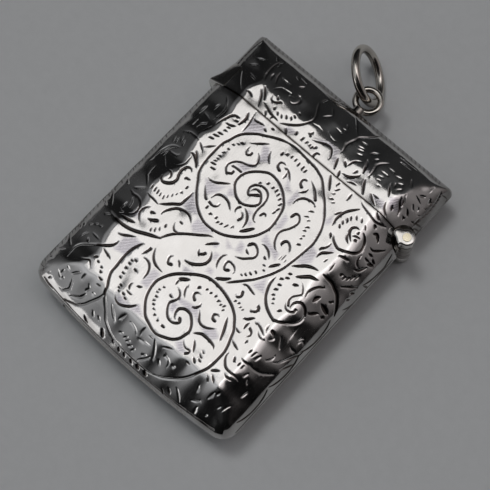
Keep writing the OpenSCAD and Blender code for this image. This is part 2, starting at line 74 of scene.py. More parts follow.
# Cuts of the body, each as its width, its form (t tapers at both ends, b begins thick, e ends
# thick, k is a leaf-shaped nick, f is even) and its points along the sheet, in millimetres.
body_cuts = [
    # great scroll in the upper middle, and its eye
    (.32, "t", -2.6,12.87, -3.9,12.5, -5,12, -6,11.44, -7,10.88, -8,10.06, -8.62,9.38, -9,8.63, -9.31,7.63,
     -9.63,6.75, -9.71,5.88, -9.73,5, -9.73,4.13, -9.65,3.13, -9.48,2.13, -9.19,1.38, -8.63,.63, -8,-.25,
     -7.38,-1, -6.63,-1.75, -5.88,-2.31, -5,-2.78, -4,-3.1, -3,-3.13, -2,-3, -1,-2.69, 0,-2.13, 1,-1.38,
     1.75,-.63, 2.38,.25, 2.81,1.25, 3,2.13, 2.97,3, 2.81,4, 2.56,5, 2.19,5.75, 1.63,6.38, .88,7.06,
     0,7.56, -1,7.81, -2,7.8, -2.75,7.44, -3.63,6.75, -4.31,6, -4.69,5.25, -4.81,4.5, -4.65,3.75,
     -4.19,3.13, -3.5,2.56, -2.75,2.24, -2.1,2.2, -1.5,2.38, -.75,2.88, -.34,3.5, -.38,4, -.75,4.56,
     -1.25,4.95, -1.75,5, -2.19,4.75, -2.44,4.25),
    (.44, "b", -1.13,4.5, -1.7,4.07, -2.25,3.72, -2.65,4.12, -2.8,4.63, -2.6,5.1, -2.38,5.38, -1.75,5.75,
     -1,5.81, -.38,5.5, 0,4.88, .13,4, .06,3, .19,2.22, .5,1.63, .88,1.44, 1.25,1.5),
    # stem that runs over the top and down the right
    (.30, "t", -3.6,12.7, -2,12.87, -1,12.8, 0,12.69, 1,12.6, 2,12.48, 2.88,12.19, 3.5,11.94, 4.25,11.31,
     5,10.56, 5.75,9.88, 6.5,9.06, 7.25,8.13, 7.75,7.31, 8.13,6.5, 8.38,5.63, 8.56,4.75, 8.63,4, 8.56,3.13,
     8.44,2.06, 8.31,1, 8.13,0, 7.94,-1, 7.63,-1.88, 7.25,-2.75, 6.75,-3.63, 6.13,-4.63, 5.38,-5.5,
     4.63,-6.31, 4,-7, 3.5,-7.45),
    # stem from the middle to the left edge
    (.32, "t", -1.6,-3.75, -2.25,-4.03, -3,-4.63, -4,-5.38, -5,-6.19, -5.75,-6.88, -6.38,-7.8, -6.8,-8.6,
     -7.13,-8.95),
    (.48, "t", -6.6,-8.65, -7.13,-8.88, -7.88,-9.25, -8.75,-9.69, -9.75,-10.25, -10.63,-10.63,
     -11.63,-10.88, -12.63,-10.98, -13.63,-10.94, -14.6,-10.75),
    # scroll of the lower middle, from the base round to its eye
    (.37, "t", 4.4,-23.1, 5.63,-22.5, 6.5,-21.88, 7.38,-21.13, 8.13,-20.38, 8.75,-19.5, 9.25,-18.5,
     9.6,-17.5, 9.71,-16.5, 9.75,-15.5, 9.73,-14.63, 9.5,-13.63, 9.13,-12.63, 8.75,-11.63, 8.13,-10.75,
     7.5,-10, 6.75,-9.42, 6,-9, 5,-8.63, 4,-8.38, 3,-8.25, 2,-8.25, 1.25,-8.44, .5,-8.81, -.25,-9.31,
     -1.13,-10, -1.88,-10.69, -2.5,-11.5, -2.94,-12.38, -3.19,-13.25, -3.15,-14.13, -2.94,-15,
     -2.56,-15.88, -1.94,-16.69, -1.13,-17.5, -.13,-17.94, .88,-18.31, 1.75,-18.35, 2.75,-18, 3.63,-17.56,
     4.19,-16.94, 4.44,-16.13, 4.56,-15.38, 4.25,-14.63, 3.75,-14, 3.13,-13.5, 2.5,-13.4, 2,-13.56,
     1.56,-13.94, 1.5,-14.5, 1.81,-15.13, 2.19,-15.38),
    (.48, "b", 2.5,-14.88, 2.78,-15.25, 2.56,-15.63, 2,-15.88, 1.25,-15.75, .63,-15.25, .19,-14.63,
     .06,-14.13, .38,-13.5, .5,-12.88, .25,-12.38, -.19,-12.06, -.75,-12),
    (.40, "t", -7.88,-10.6, -8.25,-11.5, -8.53,-12.5, -8.63,-13.5, -8.59,-14.5, -8.48,-15.5, -8.4,-16.5,
     -8,-17.38, -7.5,-18.13, -7.13,-19, -6.63,-19.5, -6,-20.13, -5.5,-20.63, -4.75,-21.6, -4,-22.13,
     -3.13,-22.63, -2.25,-22.94, -1,-23.13, 0,-23.2, 1.13,-23.28, 2.3,-23.3, 3.4,-23.26, 4.6,-23.05),
    (.36, "t", -7,-18.9, -7.25,-19.88, -7.63,-20.63, -8,-21.3, -8.35,-22, -8.85,-22.7, -9.35,-23.25,
     -10.1,-23.69, -11.1,-24.38, -11.6,-24.63),
    # leaves within and above the great scroll
    (.34, "b", -5.78,8.31, -5.81,8, -6.13,7.73, -6.5,8, -6.65,8.63, -6.63,8.95),
    (.38, "b", -5.88,4.69, -5.94,4.31, -6.38,4.06, -6.75,4.19, -7.06,4.63, -7.06,5.25, -6.63,5.94,
     -5.88,6.44, -5,6.75, -4.38,7.25, -4.31,7.88, -4.75,8.63, -5.38,9.19),
    (.28, "f", -6.5,5.25, -5.75,5.38, -5.06,5.38),
    (.28, "t", -7,9.25, -6.25,9.75, -5.5,10.38, -4.75,11.06),
    (.24, "t", -4.13,10.38, -3.88,9.69, -3.38,9.06, -2.88,8.75),
    (.30, "t", -9.06,12.38, -8.63,12.13, -7.88,12.25, -7,12.44),
    (.24, "t", -9.38,13, -9.13,12.13, -8.9,11.13, -8.81,10.25, -8.78,9.38),
    (.45, "k", -10.06,12.38, -9.69,11.5, -9.75,10.75, -9.88,10.06),
    (.36, "t", -10.19,10.94, -10.88,10.88, -11.44,10.38, -11.75,9.63, -12,8.8, -12.13,8),
    (.27, "t", -12.8,11.3, -12.65,10.3, -12.75,9.2, -12.85,8.2),
    (.27, "t", -12.3,7.7, -12.6,6.8, -12.9,6),
    (.36, "k", -11.31,9.19, -10.63,9.25, -10,9.69),
    (.24, "t", -11.31,4.44, -10.63,5.13, -10,5.94),
    (.27, "t", -12.13,4.75, -11.5,4.38, -10.81,3.94),
    (.50, "k", -11.94,2.81, -11.2,2.75, -10.38,2.19, -9.94,1.63),
    (.36, "k", -11.6,3.5, -11.1,3, -10.4,2.3),
    (.27, "t", -15.3,4.5, -14.3,4.95, -13,4.9, -12.2,4.7),
    (.32, "t", -14,2.2, -14.8,1.8, -15.3,1, -15.6,0),
    (.40, "b", -1.44,9, -1.94,9.25, -2.13,9.75, -1.81,10.1, -1.13,10.19),
    (.27, "t", -1.38,9.81, -.63,9.81, 0,9.38, .75,8.63),
    (.24, "t", -.56,9.75, -.31,9, -.35,8.31),
    (.40, "b", 2.31,9.2, 1.88,9.5, 1.77,9.98, 2.06,10.36, 2.63,10.38),
    (.40, "e", 2.5,10.9, 3.25,10.48, 4,10, 4.63,9.31, 4.9,9),
    (.27, "t", 3.19,9.63, 3.06,9, 2.5,8.38),
    (.30, "t", 2.94,6.6, 3.0,7.4, 3.5,8.13, 4.13,8.44, 4.88,8.54, 5.7,8.34),
    (.42, "b", 4.06,5.25, 4.19,5.75, 4.56,6, 5,5.75, 5.31,5.13, 5.19,4.38, 4.88,3.63, 4.44,2.94, 4.28,2.25,
     4.56,1.38, 5,.75, 5.5,.4, 6,.35),
    (.27, "k", 7.94,13, 7.98,12.4, 8,11.75),
    (.38, "k", 4,13.2, 4.75,12.13, 5.38,11.31),
    (.32, "b", .88,2.63, 1,3, 1.31,3.15, 1.63,2.69),
    # scroll at the upper right
    (.37, "t", 10.25,12.13, 9.63,11.38, 9.06,10.63, 8.75,9.88, 8.65,9, 8.75,8.25, 8.9,7.6),
    (.27, "k", 8.63,10.13, 8.31,9.63, 8.06,9.25),
    (.37, "t", 9.75,7, 10.25,6.44, 11,5.98, 11.63,5.85, 12.38,6.1, 13.13,6.44, 13.69,6.95, 13.92,7.63,
     13.8,8.3, 13.5,8.88, 13,9.45, 12.38,9.81),
    (.42, "t", 12,9.86, 11.38,9.69, 11.03,9.25, 11.1,8.7, 11.55,8.2, 12.13,7.75),
    (.32, "t", 11.06,8.5, 11.4,7.75, 12.13,7.19),
    (.30, "t", 11.69,8.44, 12.13,8.69, 12.88,8.81),
    (.27, "k", 12.1,10.75, 12.6,10.2),
    (.27, "t", 9.5,13.06, 10,12.69, 10.75,12.44, 11.63,12.25, 12.63,12, 13.38,12.19, 14.25,12.56),
    (.32, "k", 12,13.2, 12.6,12.7, 13,12.5),
    (.45, "k", 13.6,10.6, 14.1,10.9, 14.9,10.2),
    (.36, "e", 10.31,6, 10.4,5.45, 10.22,4.9, 9.81,4.38),
    (.32, "k", 9.31,6.9, 9.75,6.5),
    (.40, "t", 11.5,5.12, 10.88,4.5, 10.33,4, 10.17,3.45, 10.27,2.9),
    (.37, "k", 12.13,5.13, 12.75,5.31, 13.63,5.5),
    (.30, "t", 12.56,4, 12.63,3.25, 12.69,2.55),
    # rolled right side, upper part
    (.32, "t", 14.5,8.94, 15.13,8.94, 15.75,9.44, 16.63,10.25),
    (.32, "t", 14.94,8.25, 15.75,8.31),
    (.37, "t", 16,7.94, 16.81,7.81),
    (.60, "k", 15.9,7.1, 16.3,7.35, 16.8,7.5),
    (.27, "t", 15,7.38, 15.9,7.44),
    (.32, "t", 14.38,7.38, 14.44,6.63, 14.69,6.06, 15.13,5.75),
    (.42, "t", 15.06,5.19, 15.63,5.63, 16,6.25, 16.25,6.75),
    (.27, "t", 17.38,4, 16.75,3.38, 16,2.88, 15.25,2.19),
    (.37, "t", 18,10.88, 18.5,9.75, 18.88,8.75, 18.8,7.38, 18.5,6, 17.88,4.63),
    (.37, "t", 18.13,4.75, 18.75,5, 19.25,5.19),
    (.32, "t", 19.13,2.13, 18.94,1.25, 18.25,.25),
    # leaves at the left of the middle
    (.22, "t", -11.56,2.69, -11.46,1.75, -11.5,1, -11.88,.38, -12.5,-.31),
    (.45, "t", -12.63,-2.13, -12.38,-2.69, -11.88,-2.88, -11.25,-2.56, -10.81,-2, -10.73,-1.25, -11,-.63,
     -11.13,.13, -10.94,.75, -10.5,1.1, -9.94,.94),
    (.32, "t", -12.63,-1.13, -12,-1.13, -11.6,-1.63, -11.69,-2.19),
    (.32, "k", -10.13,-.38, -9.75,-.25, -9.38,-.15),
    (.37, "t", -7.9,-1.05, -7.88,-2, -7.94,-2.75, -8.06,-3.5, -8.75,-4.13, -9.5,-4.88, -10.25,-5.5),
    (.32, "t", -10.1,-5.58, -11,-5.5, -11.75,-5.5, -12.5,-5.44),
    (.32, "e", -7.63,.94, -7,.31, -6.38,-.31, -6,-.56),
    (.34, "t", -7.88,1.81, -7.25,1.75, -6.5,2, -5.75,2.57, -4.88,3.31),
    (.30, "t", -5.65,-.1, -5.44,.69, -4.94,1.13, -4.25,1.28, -3.5,1.13, -2.88,.69, -2.38,.31),
    (.37, "b", -5.38,-.6, -4.63,-.63, -4.19,-.25, -4.19,.35),
    (.32, "t", -8.94,-6.44, -9,-5.88, -8.63,-5.06, -8,-4.25, -7.25,-3.81, -6.5,-3.69, -5.75,-3.94,
     -5.06,-4.56),
    (.32, "b", -5.5,-6.6, -6.13,-6.63, -6.63,-6.25, -7,-5.63),
    (.50, "e", -10,-8, -9.38,-7.75, -8.75,-7.28),
    (.32, "t", -10.69,-6.44, -11.19,-7.25, -11.31,-8, -10.88,-8.63, -10.25,-9.13),
    (.32, "t", -14.85,-6.5, -14,-6.69, -13.25,-6.63, -12.5,-6.81, -11.94,-7.38, -11.69,-8.13, -11.88,-8.88,
     -12.5,-9.38),
    (.50, "k", -13,-10.1, -11.9,-9.94, -10.75,-9.56),
    (.32, "t", -13.75,-8.1, -13.75,-9.3),
    (.32, "t", -14.6,-1.7, -14.65,-2.6, -14.45,-3.5, -14.1,-3.8, -13,-4.9),
    (.45, "k", -14.6,-6, -13.8,-5.6, -13.1,-5.1),
    (.32, "t", -17.7,-8.25, -16.35,-9.1, -15.2,-10),
    (.27, "t", -17.35,-10, -16,-10.4),
    (.27, "t", -15.2,-11.5, -14.1,-10.9),
    # rolled left side
    (.3, "t", -14,12.3, -13.2,11.4, -12.75,10.4, -12.75,9.5, -12.95,8.8),
    (.3, "t", -15,8.5, -14.2,8.3, -13.5,8.05),
    (.4, "k", -15.6,9.6, -15.75,8.9, -15.7,8.1),
    (.35, "k", -14,10.8, -14.15,10.3, -14.1,9.7),
    (.3, "k", -15,7.3, -15.1,6.7, -15.05,6.1),
    (.36, "b", -13.4,7.3, -13.9,7, -14.1,6.5, -14.1,6),
    (.4, "t", -13.7,2.35, -14.7,2.1, -15.5,1.5, -16,.5, -16.2,-.6, -16.2,-1.6),
    (.3, "t", -14.7,1.2, -13.9,1.15, -13.2,1.3, -13,1.7),
    (.3, "k", -14.95,1, -15,.1),
    (.36, "t", -14.9,.3, -14,-.5, -13.1,-1.2),
    (.3, "t", -16.8,-5.8, -16.3,-6, -15.8,-6.1),
    (.4, "k", -13.6,-7.2, -13.1,-7.9, -12.9,-8.7),
    (.4, "k", -13.8,-9.4, -13.4,-9.8, -13,-9.5),
    (.28, "t", -14.75,-17.6, -14.7,-18.5, -14.6,-19.4),
    # leaves of the middle
    (.36, "b", -.88,.19, -.75,.63, -1,1.13, -1.5,1.38),
    (.32, "b", -1.88,1.69, -2.13,1.19, -2,.75, -1.81,.5),
    (.36, "t", -1.38,2.06, -.63,1.63, -.06,1, .19,.25, .28,-.5),
    (.50, "k", 1.56,.75, 1.13,.13, .69,-.5, .28,-.94),
    (.42, "b", 5.56,1.63, 5.69,2, 6.06,2.23, 6.56,2, 6.94,1.5, 7.13,1.06),
    (.30, "t", 3.56,-.25, 4.13,-.13, 4.88,-.38, 5.38,-.81, 5.81,-1.38),
    (.44, "b", 2.5,-1.38, 2.75,-1.03, 3.13,-.88, 3.75,-1.19, 4.15,-1.75, 4.13,-2.38, 3.63,-2.94, 3,-3.5,
     2,-3.88),
    (.27, "t", 2.5,-2, 2.88,-2.31, 3.38,-2.44),
    (.42, "k", 7.31,-.75, 6.88,-1.38, 6.38,-2.06),
    (.14, "t", 6.8,.75, 6.7,-.6),
    (.14, "t", 7,.85, 7,-.5),
    (.14, "t", 7.5,.5, 7.45,-.4),
    (.30, "t", 1.31,-4.25, .94,-4.88, .9,-5.5, 1.13,-6.19, 1.63,-6.81),
    (.38, "b", 2.81,-5.81, 2.44,-6.06, 2.06,-5.81, 1.92,-5.25, 2.05,-4.9, 2.38,-4.81, 3,-4.94, 3.44,-5.38,
     3.56,-6),
    (.45, "k", 3.81,-6.44, 3.25,-7.06, 2.63,-7.5, 2.19,-7.75),
    (.38, "b", -1,-6.13, -1.19,-6.44, -1.56,-6.69, -1.94,-6.38, -2.06,-6),
    (.42, "t", -.63,-5.31, -.19,-5.88, .03,-6.63, -.19,-7.38, -.75,-8, -1.38,-8.38, -1.94,-8.56,
     -2.6,-8.65),
    (.32, "k", -.5,-3.88, -1.13,-4.5, -1.88,-5.31),
    (.30, "t", 5.31,-6.19, 5.75,-5.88, 6.25,-5.81, 7,-6, 7.88,-6.19),
    (.44, "b", 6.19,-6.88, 6.38,-7.38, 6.13,-7.81, 5.63,-7.75),
    (.44, "b", 9,-7.06, 9.19,-7.25, 9.19,-7.75, 8.81,-8.06, 8.25,-8.06),
    # scroll at the right of the middle
    (.46, "t", 8.44,0, 9.13,.5, 10,1.25, 10.88,1.65, 11.63,1.81),
    (.50, "t", 12.25,1.75, 13,1.75, 14,1.75, 14.75,1.44, 15.5,1.13, 16.25,.5, 17,-.25, 17.88,-1.25),
    (.37, "t", 8,-2.4, 8,-3, 8.06,-3.75, 8.38,-4.63, 8.88,-5.5, 9.63,-6.25, 10.5,-6.8, 11.5,-7.19,
     12.38,-7, 13.13,-6.5, 13.88,-5.88, 14.31,-5.13, 14.31,-4.38, 14,-3.75, 13.5,-3.31, 12.88,-3.13,
     12.38,-3.38, 12.06,-3.88, 12.06,-4.38, 12.38,-4.69),
    (.42, "b", 12.88,-4.38, 12.88,-4.75, 12.38,-5.06, 11.75,-4.94, 11.13,-4.25),
    (.37, "e", 10.75,-.81, 11.25,-1, 11.75,-1.5, 12.1,-2.13, 11.75,-2.69, 11.38,-3.25, 11.38,-3.88,
     11.75,-4.44),
    (.55, "k", 12.45,.7, 11.4,.45, 11.05,.2, 10.4,-.4, 9.88,-.75),
    (.37, "k", 10.3,-1.85, 10.63,-1.69, 11,-1.5),
    (.37, "t", 13.75,.56, 13.13,.13, 12.63,-.75, 12.5,-1.5, 12.75,-2.38),
    (.60, "k", 14.1,-.8, 13.85,-1.3, 13.75,-1.9),
    (.80, "k", 14.9,-1.4, 15.6,-1.5, 16.6,-1.8),
    (.42, "k", 15.4,-2.6, 14.9,-3.1, 14.4,-3.6),
    (.37, "t", 16,-2.69, 16.6,-2.56),
    # rolled right side, lower part
    (.27, "t", 16.31,-7.56, 16.38,-7, 16.69,-6.75, 17.13,-7),
    (.27, "t", 16,-7.13, 16.13,-6.63, 16.5,-6.38),
    (.22, "t", 15.75,-8.44, 16.25,-8.65, 16.81,-8.56),
    (.32, "t", 18,-7.63, 17.88,-8.38, 17.38,-9, 16.75,-10, 16.13,-11, 15.38,-11.63),
    (.32, "t", 18.63,-9.5, 18,-10.25, 17.5,-11, 17,-11.75),
    (.27, "t", 14.69,-5.63, 14.69,-6.5, 14.78,-7.5, 14.94,-8.13),
    (.32, "t", 13.88,-8.25, 14.38,-9, 14.81,-9.75),
    (.32, "t", 14.94,-10.75, 14.94,-11.38, 14.44,-12.13),
    (.55, "b", 12.56,-8.56, 13.06,-8.75, 13.25,-9.25, 12.94,-9.75),
    # lower right
    (.37, "t", 8.44,-9.5, 9,-9.31, 9.38,-8.88, 9.75,-8.44),
    (.32, "t", 9.56,-9.44, 9.48,-10, 9.56,-10.69),
    (.37, "b", 10.13,-10.06, 10.56,-10.31, 10.75,-10.81, 10.38,-11.44),
    (.32, "t", 9.94,-8.94, 10.63,-8.94, 11.38,-9.25, 12.25,-9.81),
    (.22, "t", 11,-9.63, 11.75,-10.13, 12.63,-10.25),
    (.22, "t", 11.75,-8, 11.81,-8.75, 12.13,-9.38),
    (.27, "t", 8.56,-11.06, 9.13,-11.28, 9.75,-11.4),
    (.30, "t", 9.31,-12.69, 10,-12.94, 11,-13.35),
    (.32, "t", 11.75,-13.85, 12.5,-14, 13.25,-13.94, 14,-14, 15,-13.81, 16,-13.25, 16.88,-12.63),
    (.34, "t", 10.19,-14.13, 10.25,-14.88, 10.63,-15.5, 11.25,-16.06, 12.13,-16.25, 13,-16.31,
     13.63,-16.5),
    (.37, "k", 10.06,-17.63, 10.5,-17.25, 11,-16.9),
    (.34, "t", 11.56,-16.81, 12.25,-17.06, 13,-17.06),
    (.42, "k", 6.94,-10.69, 7.4,-11.6, 7.88,-12.6, 8.35,-13.9),
    # leaves within and round the lower scroll
    (.40, "b", -3.28,-10.25, -3.63,-10.4, -3.94,-10.19, -4.13,-9.63, -3.81,-9.13),
    (.27, "t", -3.13,-9.15, -2.63,-9.38, -2.25,-9.88),
    (.34, "t", -6.44,-10, -6.13,-10.56, -5.63,-11.19, -5,-11.6, -4.25,-11.78, -3.44,-11.79),
    (.50, "k", -.06,-10.13, -.63,-10.56, -1.25,-11),
    (.27, "t", -1.1,-11, -1.05,-11.9),
    (.27, "t", .31,-10.63, .31,-11.25, .63,-11.88, 1.19,-12.5),
    (.40, "b", 2.25,-11.73, 1.81,-11.44, 1.69,-11.06, 2,-10.69, 2.5,-10.69),
    (.30, "t", 3.25,-11.44, 3.25,-12, 3,-12.44, 2.5,-12.69),
    (.40, "b", 6.06,-12.16, 5.63,-12.06, 5.4,-11.63, 5.81,-11.28, 6.31,-11.44),
    (.30, "t", 3.5,-12.19, 4,-12.75, 4.5,-13.38, 5.13,-13.66, 5.88,-13.56, 6.5,-13.19, 7,-12.81),
    (.42, "t", 5,-15.25, 5.5,-14.88, 6.13,-14.53, 7,-14.55, 7.5,-14.63, 8.13,-14.81, 8.56,-15.31),
    (.32, "k", 5.81,-15.75, 6.25,-16.25, 6.88,-17.25),
    (.34, "b", 6.13,-17.94, 6.4,-17.63, 6.31,-17.25, 5.75,-17.31, 5.13,-17.06, 4.63,-16.5),
    (.30, "t", .06,-18.56, 0,-19.13, .13,-19.75),
    (.27, "t", 3.31,-19.19, 4,-18.75, 4.81,-18.38),
    (.30, "t", -4.69,-15.5, -4.25,-15.25, -3.94,-15),
    (.30, "t", -5.34,-15.5, -5.38,-16, -5,-16.56),
    (.24, "t", -5.44,-16.78, -4,-16.8),
    (.37, "t", -6,-18.2, -5.5,-18.63, -4.88,-18.81, -4.13,-18.56, -3.38,-18, -2.75,-17.13),
    (.32, "t", -6.81,-12.15, -6.13,-12, -5.5,-12.19, -5,-12.75, -4.75,-13.5, -4.75,-14.44),
    (.42, "b", -6.75,-10.6, -6.88,-11.25, -7.19,-12),
    # lower left
    (.32, "t", -9.19,-10.78, -9.88,-11.25, -10.75,-11.88, -11.63,-12.25),
    (.40, "t", -10.6,-12.63, -10.63,-13.38, -10.88,-14, -11.63,-14.75, -12,-15, -12.75,-15.5,
     -13.63,-16.13, -14.38,-16.75, -14.75,-17.38, -14.81,-18, -14.6,-18.88),
    (.32, "t", -11.5,-15, -10.75,-15.13, -10,-15.25, -9.63,-15.5),
    (.30, "t", -12.88,-18.13, -12.25,-17.81, -11.63,-17.44, -11.13,-17.81, -10.75,-18.25),
    (.27, "t", -10.69,-18.94, -10.69,-20),
    (.37, "k", -12.29,-20.38, -11.85,-19.88, -11.35,-19.38),
    (.37, "t", -11.85,-20.63, -11.54,-21.38, -11.35,-22.13, -11.6,-22.63, -12.1,-23.25, -12.6,-23.31),
    (.37, "b", -9.29,-20.5, -9.13,-20.06, -9.54,-19.69),
    (.50, "k", -9.04,-20.88, -9.35,-21.75, -9.98,-22.38, -10.73,-22.94),
    (.37, "b", -12.91,-21.75, -13.23,-22, -13.73,-21.75, -14.29,-21.44),
    (.22, "t", -13.48,-20.13, -12.73,-20.31),
    (.37, "t", -15.23,-24.38, -14.23,-24.63, -13.16,-24.63),
    (.37, "t", -17.66,-17, -16.73,-17.38, -15.6,-17.75),
    (.27, "t", -17.1,-19.19, -15.85,-18.63),
    (.32, "t", -14.29,-14.5, -13.35,-14.56, -12.6,-14.63),
    (.27, "t", -15.5,-16, -15.3,-15.3, -14.7,-14.9),
    # base
    (.45, "k", -5.44,-19.44, -4.75,-20, -4.13,-20.5, -3.63,-20.81),
    (.37, "k", -3.06,-19.19, -3.44,-20.13),
    (.27, "t", -2.13,-19.38, -1.38,-19.5, -.75,-19.75, -.25,-20.13),
    (.27, "t", .19,-20.25, .75,-20.19, 1.38,-20.1, 2,-20.06),
    (.22, "t", 1,-19.13, 1.75,-19.13),
    (.37, "k", 1.81,-18.88, 2.5,-19.63, 3.06,-20.5, 3.38,-21.25),
    (.37, "k", 2.88,-21.25, 2.38,-22, 1.81,-22.75),
    (.60, "k", -4.38,-22.88, -4.13,-23.5, -3.81,-24.25),
    (.42, "k", -7.5,-23.5, -7,-24, -6.6,-24.2),
    (.37, "b", 4.38,-19.75, 5,-19.88, 5.38,-20.25, 5.44,-20.81),
    (.27, "t", 4,-20.63, 4.5,-21.25),
    (.32, "t", 8.13,-22.13, 8.88,-23, 9.5,-24),
    (.32, "t", 7.31,-23, 7.88,-23.88),
    (.27, "t", 6.63,-23.88, 7.19,-25),
    (.37, "t", 10.5,-22.38, 11.13,-22, 11.63,-21.5),
    (.32, "t", 10.13,-19.88, 10.5,-20.88),
    (.27, "t", 11.69,-22.5, 11.75,-23.25, 11.88,-24.06),
    (.27, "t", 15.1,-19.5, 14.8,-20.3, 14.6,-21.2),
]
